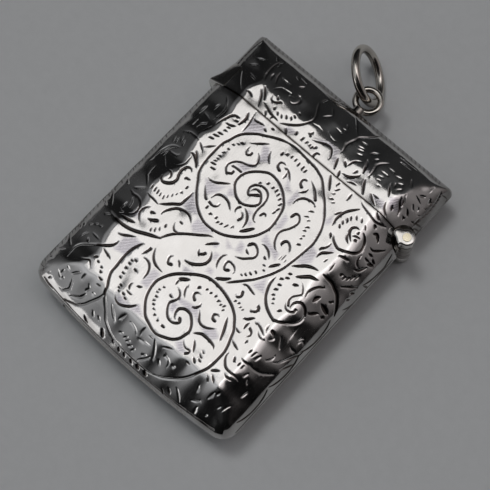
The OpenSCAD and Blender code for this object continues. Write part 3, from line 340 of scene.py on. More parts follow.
# Nicks of the body, each as its middle, length, width and slant in degrees.
body_nicks = [
    (-6,12.81,.35,.3,0), (-6.69,11.98,.45,.3,-30), (-10.44,10.31,.6,.3,20), (-10.56,8.88,.5,.28,15),
    (-10.6,8.25,.5,.28,15), (-10.81,7.5,.8,.3,15), (-11.06,6.88,1,.3,20), (-11.31,6.19,.8,.3,20),
    (-7.69,8.53,.5,.35,20), (-8,8.06,.3,.24,0), (-8.44,7.54,.3,.26,0), (-8.54,6.63,.3,.26,0),
    (-8.65,5.88,.4,.22,40), (-8.69,5.15,.35,.26,10), (-8.65,4.65,.3,.25,0), (-8.73,4.19,.35,.25,20),
    (-8.65,3.73,.8,.28,10), (-8.25,3.15,.8,.28,15), (-14.5,3.6,.9,.25,-70), (-13.8,3.2,.9,.25,-70),
    (-15,3,.9,.25,-70), (-15.6,2.9,.9,.25,-70), (-2.73,11,.5,.35,100), (-2.19,11.4,.4,.26,90),
    (-1.44,11.56,.4,.26,100), (-.78,11.56,.45,.26,95), (-.1,11.4,.5,.26,95), (.65,11.4,.55,.26,90),
    (1.19,11.25,.5,.26,85), (5.56,7.5,.8,.2,30), (5.56,6.56,.7,.18,30), (6.13,6.3,.5,.16,30),
    (6.63,5.5,.6,.2,30), (6.63,4.88,.5,.2,30), (7,4.25,.35,.2,40), (7,3.73,.35,.2,40),
    (7.31,2.88,.6,.26,30), (5.65,12.8,.5,.26,80), (6.12,12.12,.7,.22,60), (6.12,11.38,.4,.18,45),
    (6.38,10.65,.5,.22,30), (6.88,10.38,.5,.16,45), (-1.31,6.63,.35,.3,70), (-.44,6.63,.35,.28,70),
    (.19,6.69,.4,.28,80), (.73,6.41,.4,.26,80), (1.28,6,.5,.26,70), (1.81,5.5,.5,.26,75),
    (2.04,4.75,.6,.26,75), (1.96,4.13,.6,.24,80), (-2.19,5.9,.4,.3,60), (12.13,9.25,.4,.35,80),
    (12.5,8.19,.4,.4,0), (10.56,10.78,.6,.26,-50), (11.35,10.94,.6,.26,-55), (10.03,10.28,.5,.26,-50),
    (9.85,9.75,.6,.28,-50), (9.63,9.06,.6,.28,-55), (9.63,8.4,.6,.28,-50), (13.13,11.5,.5,.4,-45),
    (11.38,3.5,.8,.2,80), (16.13,4.75,.9,.26,85), (15.65,4.25,.8,.26,80), (15.23,3.69,.6,.3,75),
    (14.73,3.38,.6,.3,75), (14.19,3.44,.4,.35,60), (17.38,2.81,.6,.4,30), (17.6,1.75,.5,.3,40),
    (-8.98,-1.19,.4,.3,90), (-9.06,-2.19,.4,.2,90), (-9.38,-2.81,.4,.18,100), (-9.69,-3.38,.5,.2,110),
    (-10.03,-3.94,.5,.2,110), (-10.38,-4.38,.6,.22,110), (-10.94,-4.44,.6,.22,105),
    (-11.44,-4.38,.7,.26,105), (-11.94,-4.38,.7,.26,100), (-12.5,-4.4,.7,.26,100), (-5.15,-1.31,.45,.3,90),
    (-4.19,-1.69,.35,.3,45), (-3.25,-1.53,.4,.26,80), (-2.69,-1.88,.35,.26,60), (-2.19,-1.73,.4,.26,60),
    (-1.5,-1.5,.7,.22,70), (-.85,-1.13,.6,.18,75), (-6.19,-5.23,.5,.26,-10), (-7.44,-7,.5,.3,-60),
    (-7.75,-7.88,.5,.2,-50), (-8.13,-8.38,.6,.22,-60), (-8.56,-8.75,.5,.22,-60), (-9.94,-6.88,.7,.35,25),
    (5.23,-1.44,.5,.3,-20), (5.81,-2.25,.35,.22,0), (6.25,-2.81,.35,.22,0), (5.63,-3.63,.5,.24,-15),
    (5.25,-4.28,.6,.26,-15), (4.88,-4.81,.5,.26,-15), (4.5,-5.19,.4,.22,-15), (6.25,-8.38,.4,.22,45),
    (6.81,-8.31,.4,.22,45), (7.31,-8.63,.4,.18,45), (7.75,-8.69,.4,.18,45), (9.13,-.94,.5,.3,30),
    (9.25,-1.63,.6,.3,30), (8.75,-2.19,.5,.3,30), (9.06,-3,.5,.3,25), (9.13,-3.75,.5,.3,30),
    (9.35,-4.54,.4,.26,30), (9.73,-4.98,.3,.26,30), (10.06,-5.5,.3,.18,30), (11.38,-5.75,.5,.35,45),
    (15.69,-.25,.6,.3,35), (10.94,-11.75,.6,.22,80), (12.19,-12.44,.6,.3,80), (12.81,-12.5,1,.3,80),
    (13.5,-12.5,1,.3,80), (11.38,-14.56,.7,.35,-60), (12.23,-14.69,.5,.3,80), (12.81,-14.75,.6,.3,80),
    (13.81,-15.25,.8,.26,80), (14.56,-15.75,.8,.26,-60), (10.6,-18.7,.8,.26,-50), (10.9,-18.2,.8,.3,-50),
    (11.2,-18.4,.8,.3,-50), (12.81,-19.38,.6,.5,80), (15.5,-17.25,1.2,.3,80), (1.56,-10.1,.45,.35,60),
    (2.5,-9.63,.35,.26,45), (3.19,-9.63,.35,.24,45), (3.94,-9.56,.4,.24,60), (4.6,-9.81,.4,.24,60),
    (5.19,-10,.4,.2,45), (5.63,-9.88,.5,.22,60), (5.88,-10.38,.4,.2,60), (-.44,-13.38,.5,.3,-10),
    (-1.88,-13.13,.4,.2,30), (-2.1,-13.75,.4,.2,20), (-2.1,-14.19,.4,.2,20), (-1.78,-14.69,.4,.26,20),
    (-1.69,-15.25,.35,.2,20), (-1.35,-15.69,.35,.26,20), (-.94,-16.13,.35,.22,10), (-.28,-16.6,.3,.26,20),
    (.5,-16.9,.35,.22,0), (1.56,-17.06,.55,.35,0), (7.81,-16.35,.4,.22,-20), (7.88,-16.94,.6,.26,-20),
    (8.13,-17.44,.6,.26,-20), (7.63,-17.88,.7,.4,-40), (7.25,-18.63,.6,.3,0), (-6.25,-16.78,.4,.35,0),
    (-6.25,-17.19,.3,.26,0), (-5.94,-17.54,.3,.26,0), (-5.19,-17.4,.5,.35,-10), (-4.63,-17.69,.5,.3,0),
    (-7.1,-13.09,.5,.3,10), (-7.48,-13.44,.4,.26,20), (-7.44,-13.93,.4,.3,10), (-7.38,-14.65,.4,.3,10),
    (-7.18,-15.43,.35,.3,10), (-7.08,-16.09,.3,.3,0), (-6.25,-14.04,.5,.35,0), (-11.31,-16.48,.5,.4,40),
    (-10.65,-16.75,.3,.3,0), (-9.81,-16.96,.3,.3,0), (-9.44,-17.44,.4,.3,0), (-8.81,-18.13,.6,.35,10),
    (-8.44,-18.88,.6,.3,20), (-8.2,-20.13,.5,.3,0), (-13.5,-21.13,.6,.35,85), (-15.16,-22.88,.5,.22,60),
    (-14.6,-23.38,.7,.26,70), (-16.6,-23.63,.6,.35,-50), (-15.6,-13.8,.5,.25,30), (-14.8,-13.25,.5,.25,30),
    (-13.9,-13.1,.4,.25,20), (-16.8,-14.4,.6,.25,-20), (-17.2,-15,.5,.25,-20), (-14,-15.63,.7,.4,-40),
    (-16.79,-20.81,.8,.4,10), (-2.13,-21.31,.5,.3,20), (-1.25,-21.38,.55,.35,45), (-.73,-21.56,.5,.35,45),
    (-.1,-21.88,.5,.35,45), (.54,-22.06,.5,.35,60), (2.06,-21.56,.5,.45,45), (-6.63,-22.25,.8,.3,-55),
    (-5.63,-22.13,.6,.3,-55), (-2.3,-23.25,.6,.35,-60), (-1.06,-23.63,.8,.35,-65),
    (-.06,-23.69,.8,.35,-65), (1.19,-23.81,.8,.35,-65), (2.31,-23.75,.9,.6,-60), (3.6,-23.75,1,.6,-60),
    (6,-20.13,.5,.4,0), (12.25,-20.13,1.1,.4,80), (14,-20.75,.6,.3,70), (13.31,-22.88,.4,.3,80),
]
# Rolled edges of the body: a run of shallow scallops and a line by the seam along each side, close
# nicks outside the scallops on the left, and a line along the base.
scallop_tops = (10.9, 4.5, -1.9, -8.3, -14.7)
seam_u = 19.2
for side in (-1, 1):
    for top in scallop_tops if side < 0 else scallop_tops[2:]:
        body_cuts.append((.34, "t", side * 17.7,top, side * 18.35,top - 1.2, side * 18.65,top - 2.6,
                          side * 18.6,top - 3.9, side * 18.2,top - 5.2, side * 17.6,top - 6.2))
    body_cuts.append((.16, "f", side * seam_u,10.5, side * seam_u,0, side * seam_u,-12, side * seam_u,-22))
for i in range(58):
    top = 12.6 - 0.62 * i + 0.15 * math.sin(7 * i)
    body_cuts.append((.2, "t", -19,top, -18.2 + 0.2 * math.sin(5 * i),top - 0.3,
                      -17.3 + 0.5 * math.sin(3 * i),top - 0.75))
body_cuts.append((.17, "f", -15.4,-24.35, -8,-24.62, 0,-24.66, 8,-24.62, 15.4,-24.35))
# Matted ground of the body, finely hatched between the leaves, each patch as its outline.
body_grounds = [
    (-9,12.2, -7,12.3, -6.5,11.5, -8.7,9.6), (-5.5,10.3, -4.5,10.5, -3.2,8.8, -4.3,7.9, -4.8,9),
    (-5,7, -4.2,7.2, -4.8,5.5, -6.3,5.8), (0,9.2, 1,8.3, 2,7.6, .8,7.6), (2.2,8.5, 3,8, 2.8,6, 2.2,6.3),
    (3.2,5, 4,4.6, 4.2,3, 3.4,2.2), (-8,1.5, -6,1.9, -5.1,2.6, -5.6,.9, -6.4,-.2, -7.3,.6),
    (-4.8,2.8, -4.2,2.8, -3.4,2.2, -4.3,1.6), (3.2,1.3, 4.4,.6, 6.3,.2, 6.5,-1, 5.3,-.3, 3.3,0),
    (1.3,-1.7, 2.2,-1.9, 2.6,-3, 1.6,-3.3), (-.3,-2.7, 1.3,-3.3, .6,-3.8),
    (-7.8,-1.2, -6.6,-2, -5.2,-3, -6.2,-3.4, -7.7,-3.4), (-5,-3.2, -2,-3.4, -4.2,-5.2, -5,-4.6),
    (8,9, 8.6,8, 8.2,7.2, 7.7,7.8), (8.7,4, 9.9,3.6, 10.2,2, 9.5,1, 8.6,.8),
    (10.5,5.8, 11.5,5.2, 10.6,4.6), (7.2,-3.4, 7.9,-4.5, 8.4,-5.3, 6.4,-5.4),
    (-9.2,-10.9, -8,-10.9, -8.6,-13.6, -10.4,-14.2, -10.4,-13, -10.5,-12),
    (-11.7,-7.8, -11.3,-8, -10.8,-9, -12.2,-9.3), (-4.6,-12.2, -3.4,-12.2, -3.4,-14.8, -4.6,-14.8),
    (-2,-9.3, -.3,-9, -1.5,-10), (.2,-13.8, 1.2,-13.5, 1.3,-14.9, .7,-14.9),
    (.6,-12.7, 3.4,-12.2, 4.6,-13.8, 3.3,-13.3, .8,-13.4), (5.2,-14, 7,-12.9, 8,-13.6, 7.5,-14.4, 6,-14.3),
    (4.7,-16.7, 6.2,-18, 5.2,-18.3, 4.2,-17.6), (-6,-17.9, -4,-17.8, -3.4,-17.9, -5,-18.7),
    (-2.7,-16.9, -1.2,-17.9, -3.4,-18.4), (-1.2,-3.9, -.4,-4, -.4,-4.8, -1,-4.7),
    (-.2,-5.1, .6,-5, .6,-6, .2,-6.1), (.6,-7.2, 1.4,-7.1, 1.6,-7.8, .7,-7.9),
    (-.9,2.2, -.1,2.2, -.1,1.6, -.6,1.7), (.3,1.2, 1,1.1, .8,.4, .3,.5),
]


# A smooth curve through the points, in short steps.
def smooth_line(points, step=0.04):
    points = np.array(points, float).reshape(-1, 2)
    ends = np.vstack([2 * points[0] - points[1], points, 2 * points[-1] - points[-2]])
    line = []
    for a, b, c, d in zip(ends, ends[1:], ends[2:], ends[3:]):
        t = np.linspace(0, 1, max(2, int(np.hypot(*(c - b)) / step)), endpoint=False)[:, None]
        bend = (2 * a - 5 * b + 4 * c - d) * t**2
        twist = (3 * b - a - 3 * c + d) * t**3
        line.append(0.5 * (2 * b + (c - a) * t + bend + twist))
    return np.vstack(line + [points[-1:]])


# Places and drops across the sheet: a plain arc for the inner skin, the drawn sections for the outer.
def rolled(along, flat, skin, *sections, wander=0):
    turn = np.clip(np.abs(along) - flat, 0, None) / roll_r
    turn *= math.acos((roll_r - seam_drop) / (roll_r - skin)) / roll_turn
    out = np.minimum(np.abs(along), flat) + (roll_r - skin) * np.sin(turn)
    if skin:
        return np.sign(along) * out, (roll_r - skin) * (1 - np.cos(turn))
    share = (out - flat) / roll_run
    share = share + wander * np.clip(1 - np.abs(share), 0, 1)
    drops = [np.interp(share, *smooth_line(section, 0.01).T) for section in sections]
    return np.sign(along) * out, np.where(along < 0, drops[0], drops[-1])


# Rows of the sheet drawn back from the notch for the hinge and from the slot for the striker.
def trimmed(u, v, skin, part):
    x = rolled(u, flat_x, skin, left_section, right_section)[0]
    notch = np.sqrt(np.maximum(notch_r**2 - (x - hinge_x) ** 2, joint_gap**2))
    if part == "lid":
        keep = mouth_y + notch_reach
        drawn = (keep - v) * (notch_reach - notch) / (notch_reach - joint_gap)
        return np.where(v < keep, keep - drawn, v)
    keep = mouth_y - notch_reach
    drawn = (v - keep) * (notch_reach - notch) / (notch_reach - joint_gap)
    v = np.where(v > keep, keep + drawn, v)
    if skin:
        slot_turn = math.acos((roll_r - thick + slot_z) / (roll_r - skin))
        turn = slot_turn / math.acos((roll_r - seam_drop) / (roll_r - skin)) * roll_turn
    else:
        slot_share = np.interp(thick - slot_z, base_section[1::2], base_section[::2])
        turn = math.asin(slot_share * roll_run / roll_r)
    slot_edge = flat_y + turn * roll_r
    drawn = (v + slot_start) * (slot_edge - slot_start) / (end_v - slot_start)
    return np.where((v < -slot_start) & (np.abs(x) < slot_x), -slot_start + drawn, v)


# How far the rolled edges stray from their sections, by hand: in lobes on the left, less elsewhere.
def wandering(u, v):
    left = 0.11 * np.cos(0.73 * (v - 0.85)) * np.interp(v, (6.5, 9, 13, 16), (1, 0.4, 0.4, 1))
    left = left + 0.02 * np.sin(1.9 * v)
    right = 0.035 * np.sin(0.62 * v + 0.8) + 0.012 * np.sin(1.7 * v)
    lid = 0.025 * np.sin(1.3 * u + 1) - 0.03 * np.cos(0.7 * u)
    base = 0.025 * np.cos(0.8 * u + 0.5) + 0.02 * np.sin(1.9 * u)
    return np.where(u < 0, left, right), np.where(v > 0, lid, base)


# The raised form of a sheet: the place of each point u, v of the flat sheet, skin deep under its face.
# On the left and at the lid end the inner skin keeps below the outer one.
def pillow(u, v, skin):
    side_wander, end_wander = wandering(u, v)
    x, side_drop = rolled(u, flat_x, skin, left_section, right_section, wander=side_wander)
    y, end_drop = rolled(v, flat_y, skin, base_section, lid_section, wander=end_wander)
    if skin:
        under_left = rolled(u, flat_x, 0, left_section, right_section, wander=side_wander)[1]
        under_left = under_left - np.interp(np.abs(v - mouth_y), (1.7, 3.5), (0.55, 0.38))
        under_lid = rolled(v, flat_y, 0, base_section, lid_section, wander=end_wander)[1] - 0.1
        left_most = np.maximum(side_drop, seam_drop - skin)
        lid_most = np.maximum(end_drop, seam_drop - skin)
        side_drop = np.where(u < 0, np.clip(under_left, side_drop, left_most), side_drop)
        end_drop = np.where(v > 0, np.clip(under_lid, end_drop, lid_most), end_drop)
    lost = roll_run - rolled(np.array([side_u]), flat_x, skin, left_section)[0][0] + flat_x
    for corner, here in ((base_corner, y < 0), (lid_corner, y > 0)):
        a = (np.abs(x) - side_x + corner) / (corner - lost)
        b = (np.abs(y) - end_y + corner) / (corner - lost)
        here = here & (a > 0) & (b > 0)
        fit = np.where(here, np.maximum(a, b) / np.maximum(np.hypot(a, b), 1e-9), 1)
        x = np.where(here, np.sign(x) * (side_x - corner + (corner - lost) * a * fit), x)
        y = np.where(here, np.sign(y) * (end_y - corner + (corner - lost) * b * fit), y)
    y = y + x**2 / (2 * base_bow_r) * np.clip((flat_y - v) / (2 * flat_y), 0, 1)
    drop = np.maximum(side_drop, end_drop)
    near_hip = np.clip(1 - np.abs(side_drop - end_drop) / hip_soft, 0, 1)
    near_hip = near_hip * np.minimum(np.minimum(side_drop, end_drop) / hip_soft, 1)
    drop = drop + near_hip**2 * hip_soft / 4 * (1 - drop / seam_drop)
    hand = sum(deep * (np.sin(turn_u * u + turn_v * v + start) - 1)
               for deep, turn_u, turn_v, start in uneven)
    return np.stack([x, y, thick - skin - drop + hand * (1 - drop / seam_drop) * (skin == 0)], 1)


# How far each point lies inside a cut or a nick, or outside the nearest one if less than 0.
cut_half = 0.44
taper_l, taper_share, taper_curve = 1.4, 0.45, 0.6
swell_l, swell, slim = 0.7, 0.38, 0.62
look_round = 0.6


def engraved(cuts, nicks, u, v):
    inside = np.full(len(u), -1.0)
    strokes = list(cuts)
    for at_u, at_v, length, width, slant in nicks:
        a = math.radians(slant)
        du, dv = length / 2 * math.cos(a), length / 2 * math.sin(a)
        strokes.append((width, "k", at_u - du, at_v - dv, at_u, at_v, at_u + du, at_v + dv))
    order = np.argsort(v)
    ordered = v[order]
    for width, form, *points in strokes:
        line = smooth_line(points)
        s = np.concatenate([[0], np.cumsum(np.hypot(*np.diff(line, axis=0).T))])
        whole = s[-1]
        taper = min(taper_l, taper_share * whole)
        start = np.clip(s / taper, 0, 1) ** taper_curve
        end = np.clip((whole - s) / taper, 0, 1) ** taper_curve
        half = cut_half * width * {
            "t": start * end,
            "b": (slim + swell * np.exp(-((s / swell_l) ** 2))) * end,
            "e": (slim + swell * np.exp(-(((whole - s) / swell_l) ** 2))) * start,
            "k": np.sin(math.pi * np.clip((s + 0.04) / (whole + 0.08), 0, 1)) ** taper_curve,
            "f": np.ones_like(s),
        }[form]
        for i in range(0, len(line), 60):
            run, wide = line[i : i + 61], half[i : i + 61]
            low, high = run.min(0) - look_round, run.max(0) + look_round
            near = order[np.searchsorted(ordered, low[1]) : np.searchsorted(ordered, high[1])]
            near = near[(u[near] > low[0]) & (u[near] < high[0])]
            if len(near):
                away = np.hypot(u[near, None] - run[:, 0], v[near, None] - run[:, 1])
                inside[near] = np.maximum(inside[near], (wide - away).max(1))
    return inside


# How matted the ground is at each point, from 0 to 1 across the soft edge of each patch.
ground_edge = 0.5


def hatched(grounds, u, v):
    amount = np.zeros(len(u))
    for outline in grounds:
        corners = np.array(outline, float).reshape(-1, 2)
        low, high = corners.min(0) - 0.4, corners.max(0) + 0.4
        near = np.flatnonzero((u > low[0]) & (u < high[0]) & (v > low[1]) & (v < high[1]))
        crossed, away = np.zeros(len(near), bool), np.full(len(near), 9.0)
        for (au, av), (bu, bv) in zip(corners, np.roll(corners, -1, 0)):
            pu, pv = u[near] - au, v[near] - av
            eu, ev = bu - au, bv - av
            t = np.clip((pu * eu + pv * ev) / (eu**2 + ev**2), 0, 1)
            away = np.minimum(away, np.hypot(pu - t * eu, pv - t * ev))
            over = (av > v[near]) != (bv > v[near])
            crossed ^= over & (u[near] < au + (v[near] - av) * eu / (ev if ev else 1e-9))
        within = np.clip(0.5 + np.where(crossed, away, -away) / ground_edge, 0, 1)
        amount[near] = np.maximum(amount[near], within)
    return amount


# How dark the silver is made: patina in the cuts, less where a cloth has rubbed the rolls, and along
# the lower rolls by the seam, partly tarnish and partly painted shade.
dark_depth = 0.085
rub_start, rub_fade, rim_start, rim_fade = 0.5, 0.8, 1.9, 0.6
lid_rub_low, lid_rub_high = 16.4, 22.5


def tarnish_and_shade(part, u, v, drop, depth):
    rub_end, rim_tarnish_and_shade = (2.5, 0.19) if part == "lid" else (3, 0.125)
    hinge_side = (u > 9) & (np.abs(v - 6.5) < 10.5)
    rubbed = np.clip(drop / rub_start, 0, 1) * np.clip((rub_end - drop) / rub_fade, 0, 1)
    rubbed = rubbed * np.where(hinge_side, 0.4, 0.9)
    if part == "lid":
        lid_rub = 0.9 * np.clip((v - lid_rub_low) / rub_fade, 0, 1)
        rubbed = np.maximum(rubbed, lid_rub * np.clip((lid_rub_high - v) / rub_fade, 0, 1))
    # The lower rolls are darkened as painted shade for the shaded table they reflect, with some tarnish by
    # the seam.
    rim = rim_tarnish_and_shade + 0.025 * np.sin(1.3 * u + 0.9 * v)
    return np.maximum(depth / dark_depth * (1 - rubbed), rim * np.clip((drop - rim_start) / rim_fade, 0, 1))


# A finished mesh as a piece that rides a body and takes the place of the solids that it stands for.
def add_piece(name, bm, materials, body, slot, *nodes, sharp=50):
    mesh = bpy.data.meshes.new(name)
    bm.to_mesh(mesh)
    bm.free()
    for material in materials:
        mesh.materials.append(material)
    mesh.shade_smooth()
    mesh.set_sharp_from_angle(angle=math.radians(sharp))
    piece = bpy.data.objects.new(name, mesh)
    bpy.context.scene.collection.objects.link(piece)
    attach(piece, body)
    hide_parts(*nodes)


# A sheet: a grid made finer round the cuts, raised, cut and matted, with a gilt inner skin joined to it
# along the edges. The back has the front's form mirrored in depth, and the front's pattern turned over.
cell, inner_columns = 0.275, 72
cut_slope, cut_max, cut_margin = 0.95, 0.11, 0.16
roll_widening, dish_deep, dish_reach, ground_deep = 0.035, 0.004, 0.5, 0.012
joint_painted_shade = 0.24


def engraved_sheet(name, part, front, v_low, v_high, cuts, nicks, grounds, materials):
    bm = bmesh.new()
    cut_layer = bm.verts.layers.float.new("cut")
    ground_layer = bm.verts.layers.float.new("ground")
    turned = 1 if front else -1

    def spread(points):
        flat = np.array(points)
        return flat[:, 0] * side_u, (v_low + v_high) / 2 + flat[:, 1] * (v_high - v_low) / 2

    columns, rows = round(2 * side_u / cell), round((v_high - v_low) / cell)
    bmesh.ops.create_grid(bm, x_segments=columns, y_segments=rows, size=1)
    u, v = spread([f.calc_center_median() for f in bm.faces])
    busy = engraved(cuts, nicks, turned * u, trimmed(u, v, 0, part)) > -cut_margin
    bm.faces.index_update()
    edges = [e for e in bm.edges if any(busy[f.index] for f in e.link_faces)]
    bmesh.ops.subdivide_edges(bm, edges=edges, cuts=2, use_grid_fill=True)
    outer = list(bm.verts)
    u, v = spread([vert.co for vert in outer])
    v = trimmed(u, v, 0, part)
    inside = engraved(cuts, nicks, turned * u, v)
    inside += roll_widening * np.clip((thick - pillow(u, v, 0)[:, 2]) / 0.5, 0, 1)
    depth = cut_max * (1 - np.exp(-np.clip(inside, 0, None) * cut_slope / cut_max))
    dished = dish_deep * np.clip(1 + np.minimum(inside, 0) / dish_reach, 0, 1) ** 2
    ground = hatched(grounds, turned * u, v)
    step = 0.01
    across = pillow(u + step, v, 0) - pillow(u - step, v, 0)
    along = pillow(u, v + step, 0) - pillow(u, v - step, 0)
    outward = np.cross(across, along)
    outward /= np.linalg.norm(outward, axis=1)[:, None]
    place = pillow(u, v, 0) - outward * (depth + dished + ground_deep * ground)[:, None]
    # The darkening holds patina in the cuts and painted shade along the lower rolls; the sheet's edge at
    # the joint is darkened as painted shade in the gap.
    patina_and_shade = tarnish_and_shade(part, u, v, thick - place[:, 2], depth)
    patina_and_shade[np.abs(v - (v_high if part == "body" else v_low)) < 0.01] = joint_painted_shade
    for vert, at, dark, matt in zip(outer, place, patina_and_shade, ground):
        vert.co = at
        vert[cut_layer], vert[ground_layer] = dark, matt
    inner_rows = round(inner_columns * (v_high - v_low) / (2 * side_u))
    inner = bmesh.ops.create_grid(bm, x_segments=inner_columns, y_segments=inner_rows, size=1)["verts"]
    u, v = spread([vert.co for vert in inner])
    for vert, at in zip(inner, pillow(u, trimmed(u, v, sheet, part), sheet)):
        vert.co = at
    for f in {f for vert in inner for f in vert.link_faces}:
        f.material_index = 1
    rim = bmesh.ops.bridge_loops(bm, edges=[e for e in bm.edges if e.is_boundary])["faces"]
    for f in rim:
        f.material_index = 0
    if not front:
        bmesh.ops.scale(bm, vec=(1, 1, -1), verts=bm.verts)
        bmesh.ops.translate(bm, vec=(0, 0, thick), verts=bm.verts)
    bmesh.ops.recalc_face_normals(bm, faces=bm.faces)
    bmesh.ops.scale(bm, vec=(mm, mm, mm), verts=bm.verts)
    add_piece(name + "_sheet", bm, materials, part, "silver", name + "_shell")


# A metal, with the place on the piece in millimetres for its patterns.
def new_material(name):
    material = bpy.data.materials.new(name)
    material.use_nodes = True
    nodes = material.node_tree.nodes
    nodes.clear()
    shader = nodes.new("ShaderNodeBsdfPrincipled")
    shader.inputs["Metallic"].default_value = 1
    out = nodes.new("ShaderNodeOutputMaterial")
    material.node_tree.links.new(shader.outputs[0], out.inputs[0])
    where = nodes.new("ShaderNodeTexCoord")
    size = nodes.new("ShaderNodeMapping")
    size.inputs["Scale"].default_value = (1 / mm, 1 / mm, 1 / mm)
    material.node_tree.links.new(where.outputs["Object"], size.inputs[0])
    return material, shader, size.outputs[0]


# A pattern on the piece, turned and stretched where it has a grain.
def texture(material, kind, place, stretch=None, **values):
    tree = material.node_tree
    made = tree.nodes.new(kind)
    if stretch:
        turn = tree.nodes.new("ShaderNodeMapping")
        turn.inputs["Rotation"].default_value = stretch[0]
        turn.inputs["Scale"].default_value = stretch[1]
        tree.links.new(place, turn.inputs[0])
        place = turn.outputs[0]
    tree.links.new(place, made.inputs["Vector"])
    for key, value in values.items():
        made.inputs[key].default_value = value
    return made.outputs[0]


def noise(material, place, stretch=None, **values):
    return texture(material, "ShaderNodeTexNoise", place, stretch, **values)


# Tones or amounts along a pattern.
def ramp(material, source, *stops):
    made = material.node_tree.nodes.new("ShaderNodeValToRGB")
    while len(made.color_ramp.elements) < len(stops):
        made.color_ramp.elements.new(0.5)
    for element, (at, value) in zip(made.color_ramp.elements, stops):
        element.position = at
        element.color = (*value, 1) if isinstance(value, tuple) else (value, value, value, 1)
    material.node_tree.links.new(source, made.inputs[0])
    return made.outputs[0]


# Two tones mixed by an amount.
def blend(material, amount, first, second):
    made = material.node_tree.nodes.new("ShaderNodeMix")
    made.data_type = "RGBA"
    for socket, value in ((made.inputs[0], amount), (made.inputs[6], first), (made.inputs[7], second)):
        if isinstance(value, bpy.types.NodeSocket):
            material.node_tree.links.new(value, socket)
        else:
            socket.default_value = (*value, 1)
    return made.outputs[2]


# An amount that the mesh holds at each of its points.
def attribute(material, name):
    made = material.node_tree.nodes.new("ShaderNodeAttribute")
    made.attribute_name = name
    return made.outputs["Fac"]


# A height pattern that tilts the light on the surface, over an earlier one where there is one.
def bump(material, shader, height, depth, under=None):
    made = material.node_tree.nodes.new("ShaderNodeBump")
    made.inputs["Distance"].default_value = depth * mm
    material.node_tree.links.new(height, made.inputs["Height"])
    if under:
        material.node_tree.links.new(under, made.inputs["Normal"])
    material.node_tree.links.new(made.outputs[0], shader.inputs["Normal"])
    return made.outputs[0]


# The tone and the polish of a material.
def surface(material, shader, colour, rough):
    material.node_tree.links.new(colour, shader.inputs["Base Color"])
    material.node_tree.links.new(rough, shader.inputs["Roughness"])


# Silver, clouded and rubbed. Where it is cut, its cuts are dark with patina and its ground is hatched;
# the same dark tone also paints the shade that the mesh holds along the rolls, the joint and the wire.
patina_and_shade_dark = (0.045, 0.034, 0.028)
ground_low, ground_high = (0.385, 0.365, 0.40), (0.585, 0.565, 0.595)


def silver_material(name, tone, worn, cut=False):
    material, shader, place = new_material(name)
    cloud = noise(material, place, Scale=0.35, Detail=4.0, Roughness=0.6)
    rubbed = noise(material, place, ((0, 0, 0.6), (6, 0.5, 1)), Scale=1.4, Detail=3.0)
    grain = noise(material, place, Scale=9.0, Detail=2.0)
    colour = ramp(material, cloud, (0.3, tuple(t * 0.94 for t in tone)), (0.65, tone))
    rough = ramp(material, rubbed, (0.35, worn * 0.75), (0.7, worn * 1.35))
    if cut:
        dark, matt = attribute(material, "cut"), attribute(material, "ground")
        hatch = texture(material, "ShaderNodeTexWave", place, ((0, 0, 0.9), (1, 1, 1)),
                        Scale=1.5, Distortion=2.5, Detail=2.0)
        shade = ramp(material, hatch, (0.2, ground_low), (0.8, ground_high))
        colour = blend(material, ramp(material, matt, (0.1, 0.0), (0.9, 0.9)), colour, shade)
        colour = blend(material, ramp(material, dark, (0.04, 0.0), (0.28, 0.94)), colour, patina_and_shade_dark)
        rough = blend(material, ramp(material, matt, (0.1, 0.0), (1.0, 0.5)), rough, (0.2, 0.2, 0.2))
        lines = blend(material, ramp(material, matt, (0.2, 0.0), (1.0, 1.0)), (0.5, 0.5, 0.5), hatch)
        lined = bump(material, shader, lines, 0.004)
        beaten = bump(material, shader, noise(material, place, Scale=0.33, Detail=1.0), 0.06, lined)
        bump(material, shader, grain, 0.002, beaten)
    else:
        bump(material, shader, grain, 0.004)
    surface(material, shader, colour, rough)
    return material


engraved_silver = silver_material("engraved silver", (0.72, 0.705, 0.69), 0.11, cut=True)
gilt_low, gilt_high, gilt_gap_shade = (0.62, 0.42, 0.16), (0.9, 0.68, 0.31), (0.02, 0.016, 0.012)
gilt, gilt_shader, gilt_place = new_material("gilt lining")
gilt_cloud = noise(gilt, gilt_place, Scale=0.5, Detail=5.0)
gilt_brushed = noise(gilt, gilt_place, ((0, 0, 0), (0.5, 9, 1)), Scale=2.0, Detail=3.0)
# The gilt goes near black in a narrow band along the joint: painted shade in the gap between lid and body.
gilt_split = gilt.node_tree.nodes.new("ShaderNodeSeparateXYZ")
gilt_reach = gilt.node_tree.nodes.new("ShaderNodeMapRange")
gilt_reach.inputs["From Min"].default_value = mouth_y - 1
gilt_reach.inputs["From Max"].default_value = mouth_y + 1
gilt.node_tree.links.new(gilt_place, gilt_split.inputs[0])
gilt.node_tree.links.new(gilt_split.outputs["Y"], gilt_reach.inputs["Value"])
gilt_joint_shade = ramp(gilt, gilt_reach.outputs[0], (0.3, 0.0), (0.42, 0.95), (0.58, 0.95), (0.7, 0.0))
gilt_tone = ramp(gilt, gilt_cloud, (0.3, gilt_low), (0.7, gilt_high))
surface(gilt, gilt_shader, blend(gilt, gilt_joint_shade, gilt_tone, gilt_gap_shade),
        ramp(gilt, gilt_brushed, (0.3, 0.22), (0.7, 0.42)))
bump(gilt, gilt_shader, gilt_brushed, 0.006)

for side, front in (("front", True), ("back", False)):
    engraved_sheet(f"body_{side}", "body", front, -end_v, mouth_y - joint_gap,
                   body_cuts, body_nicks, body_grounds, [engraved_silver, gilt])


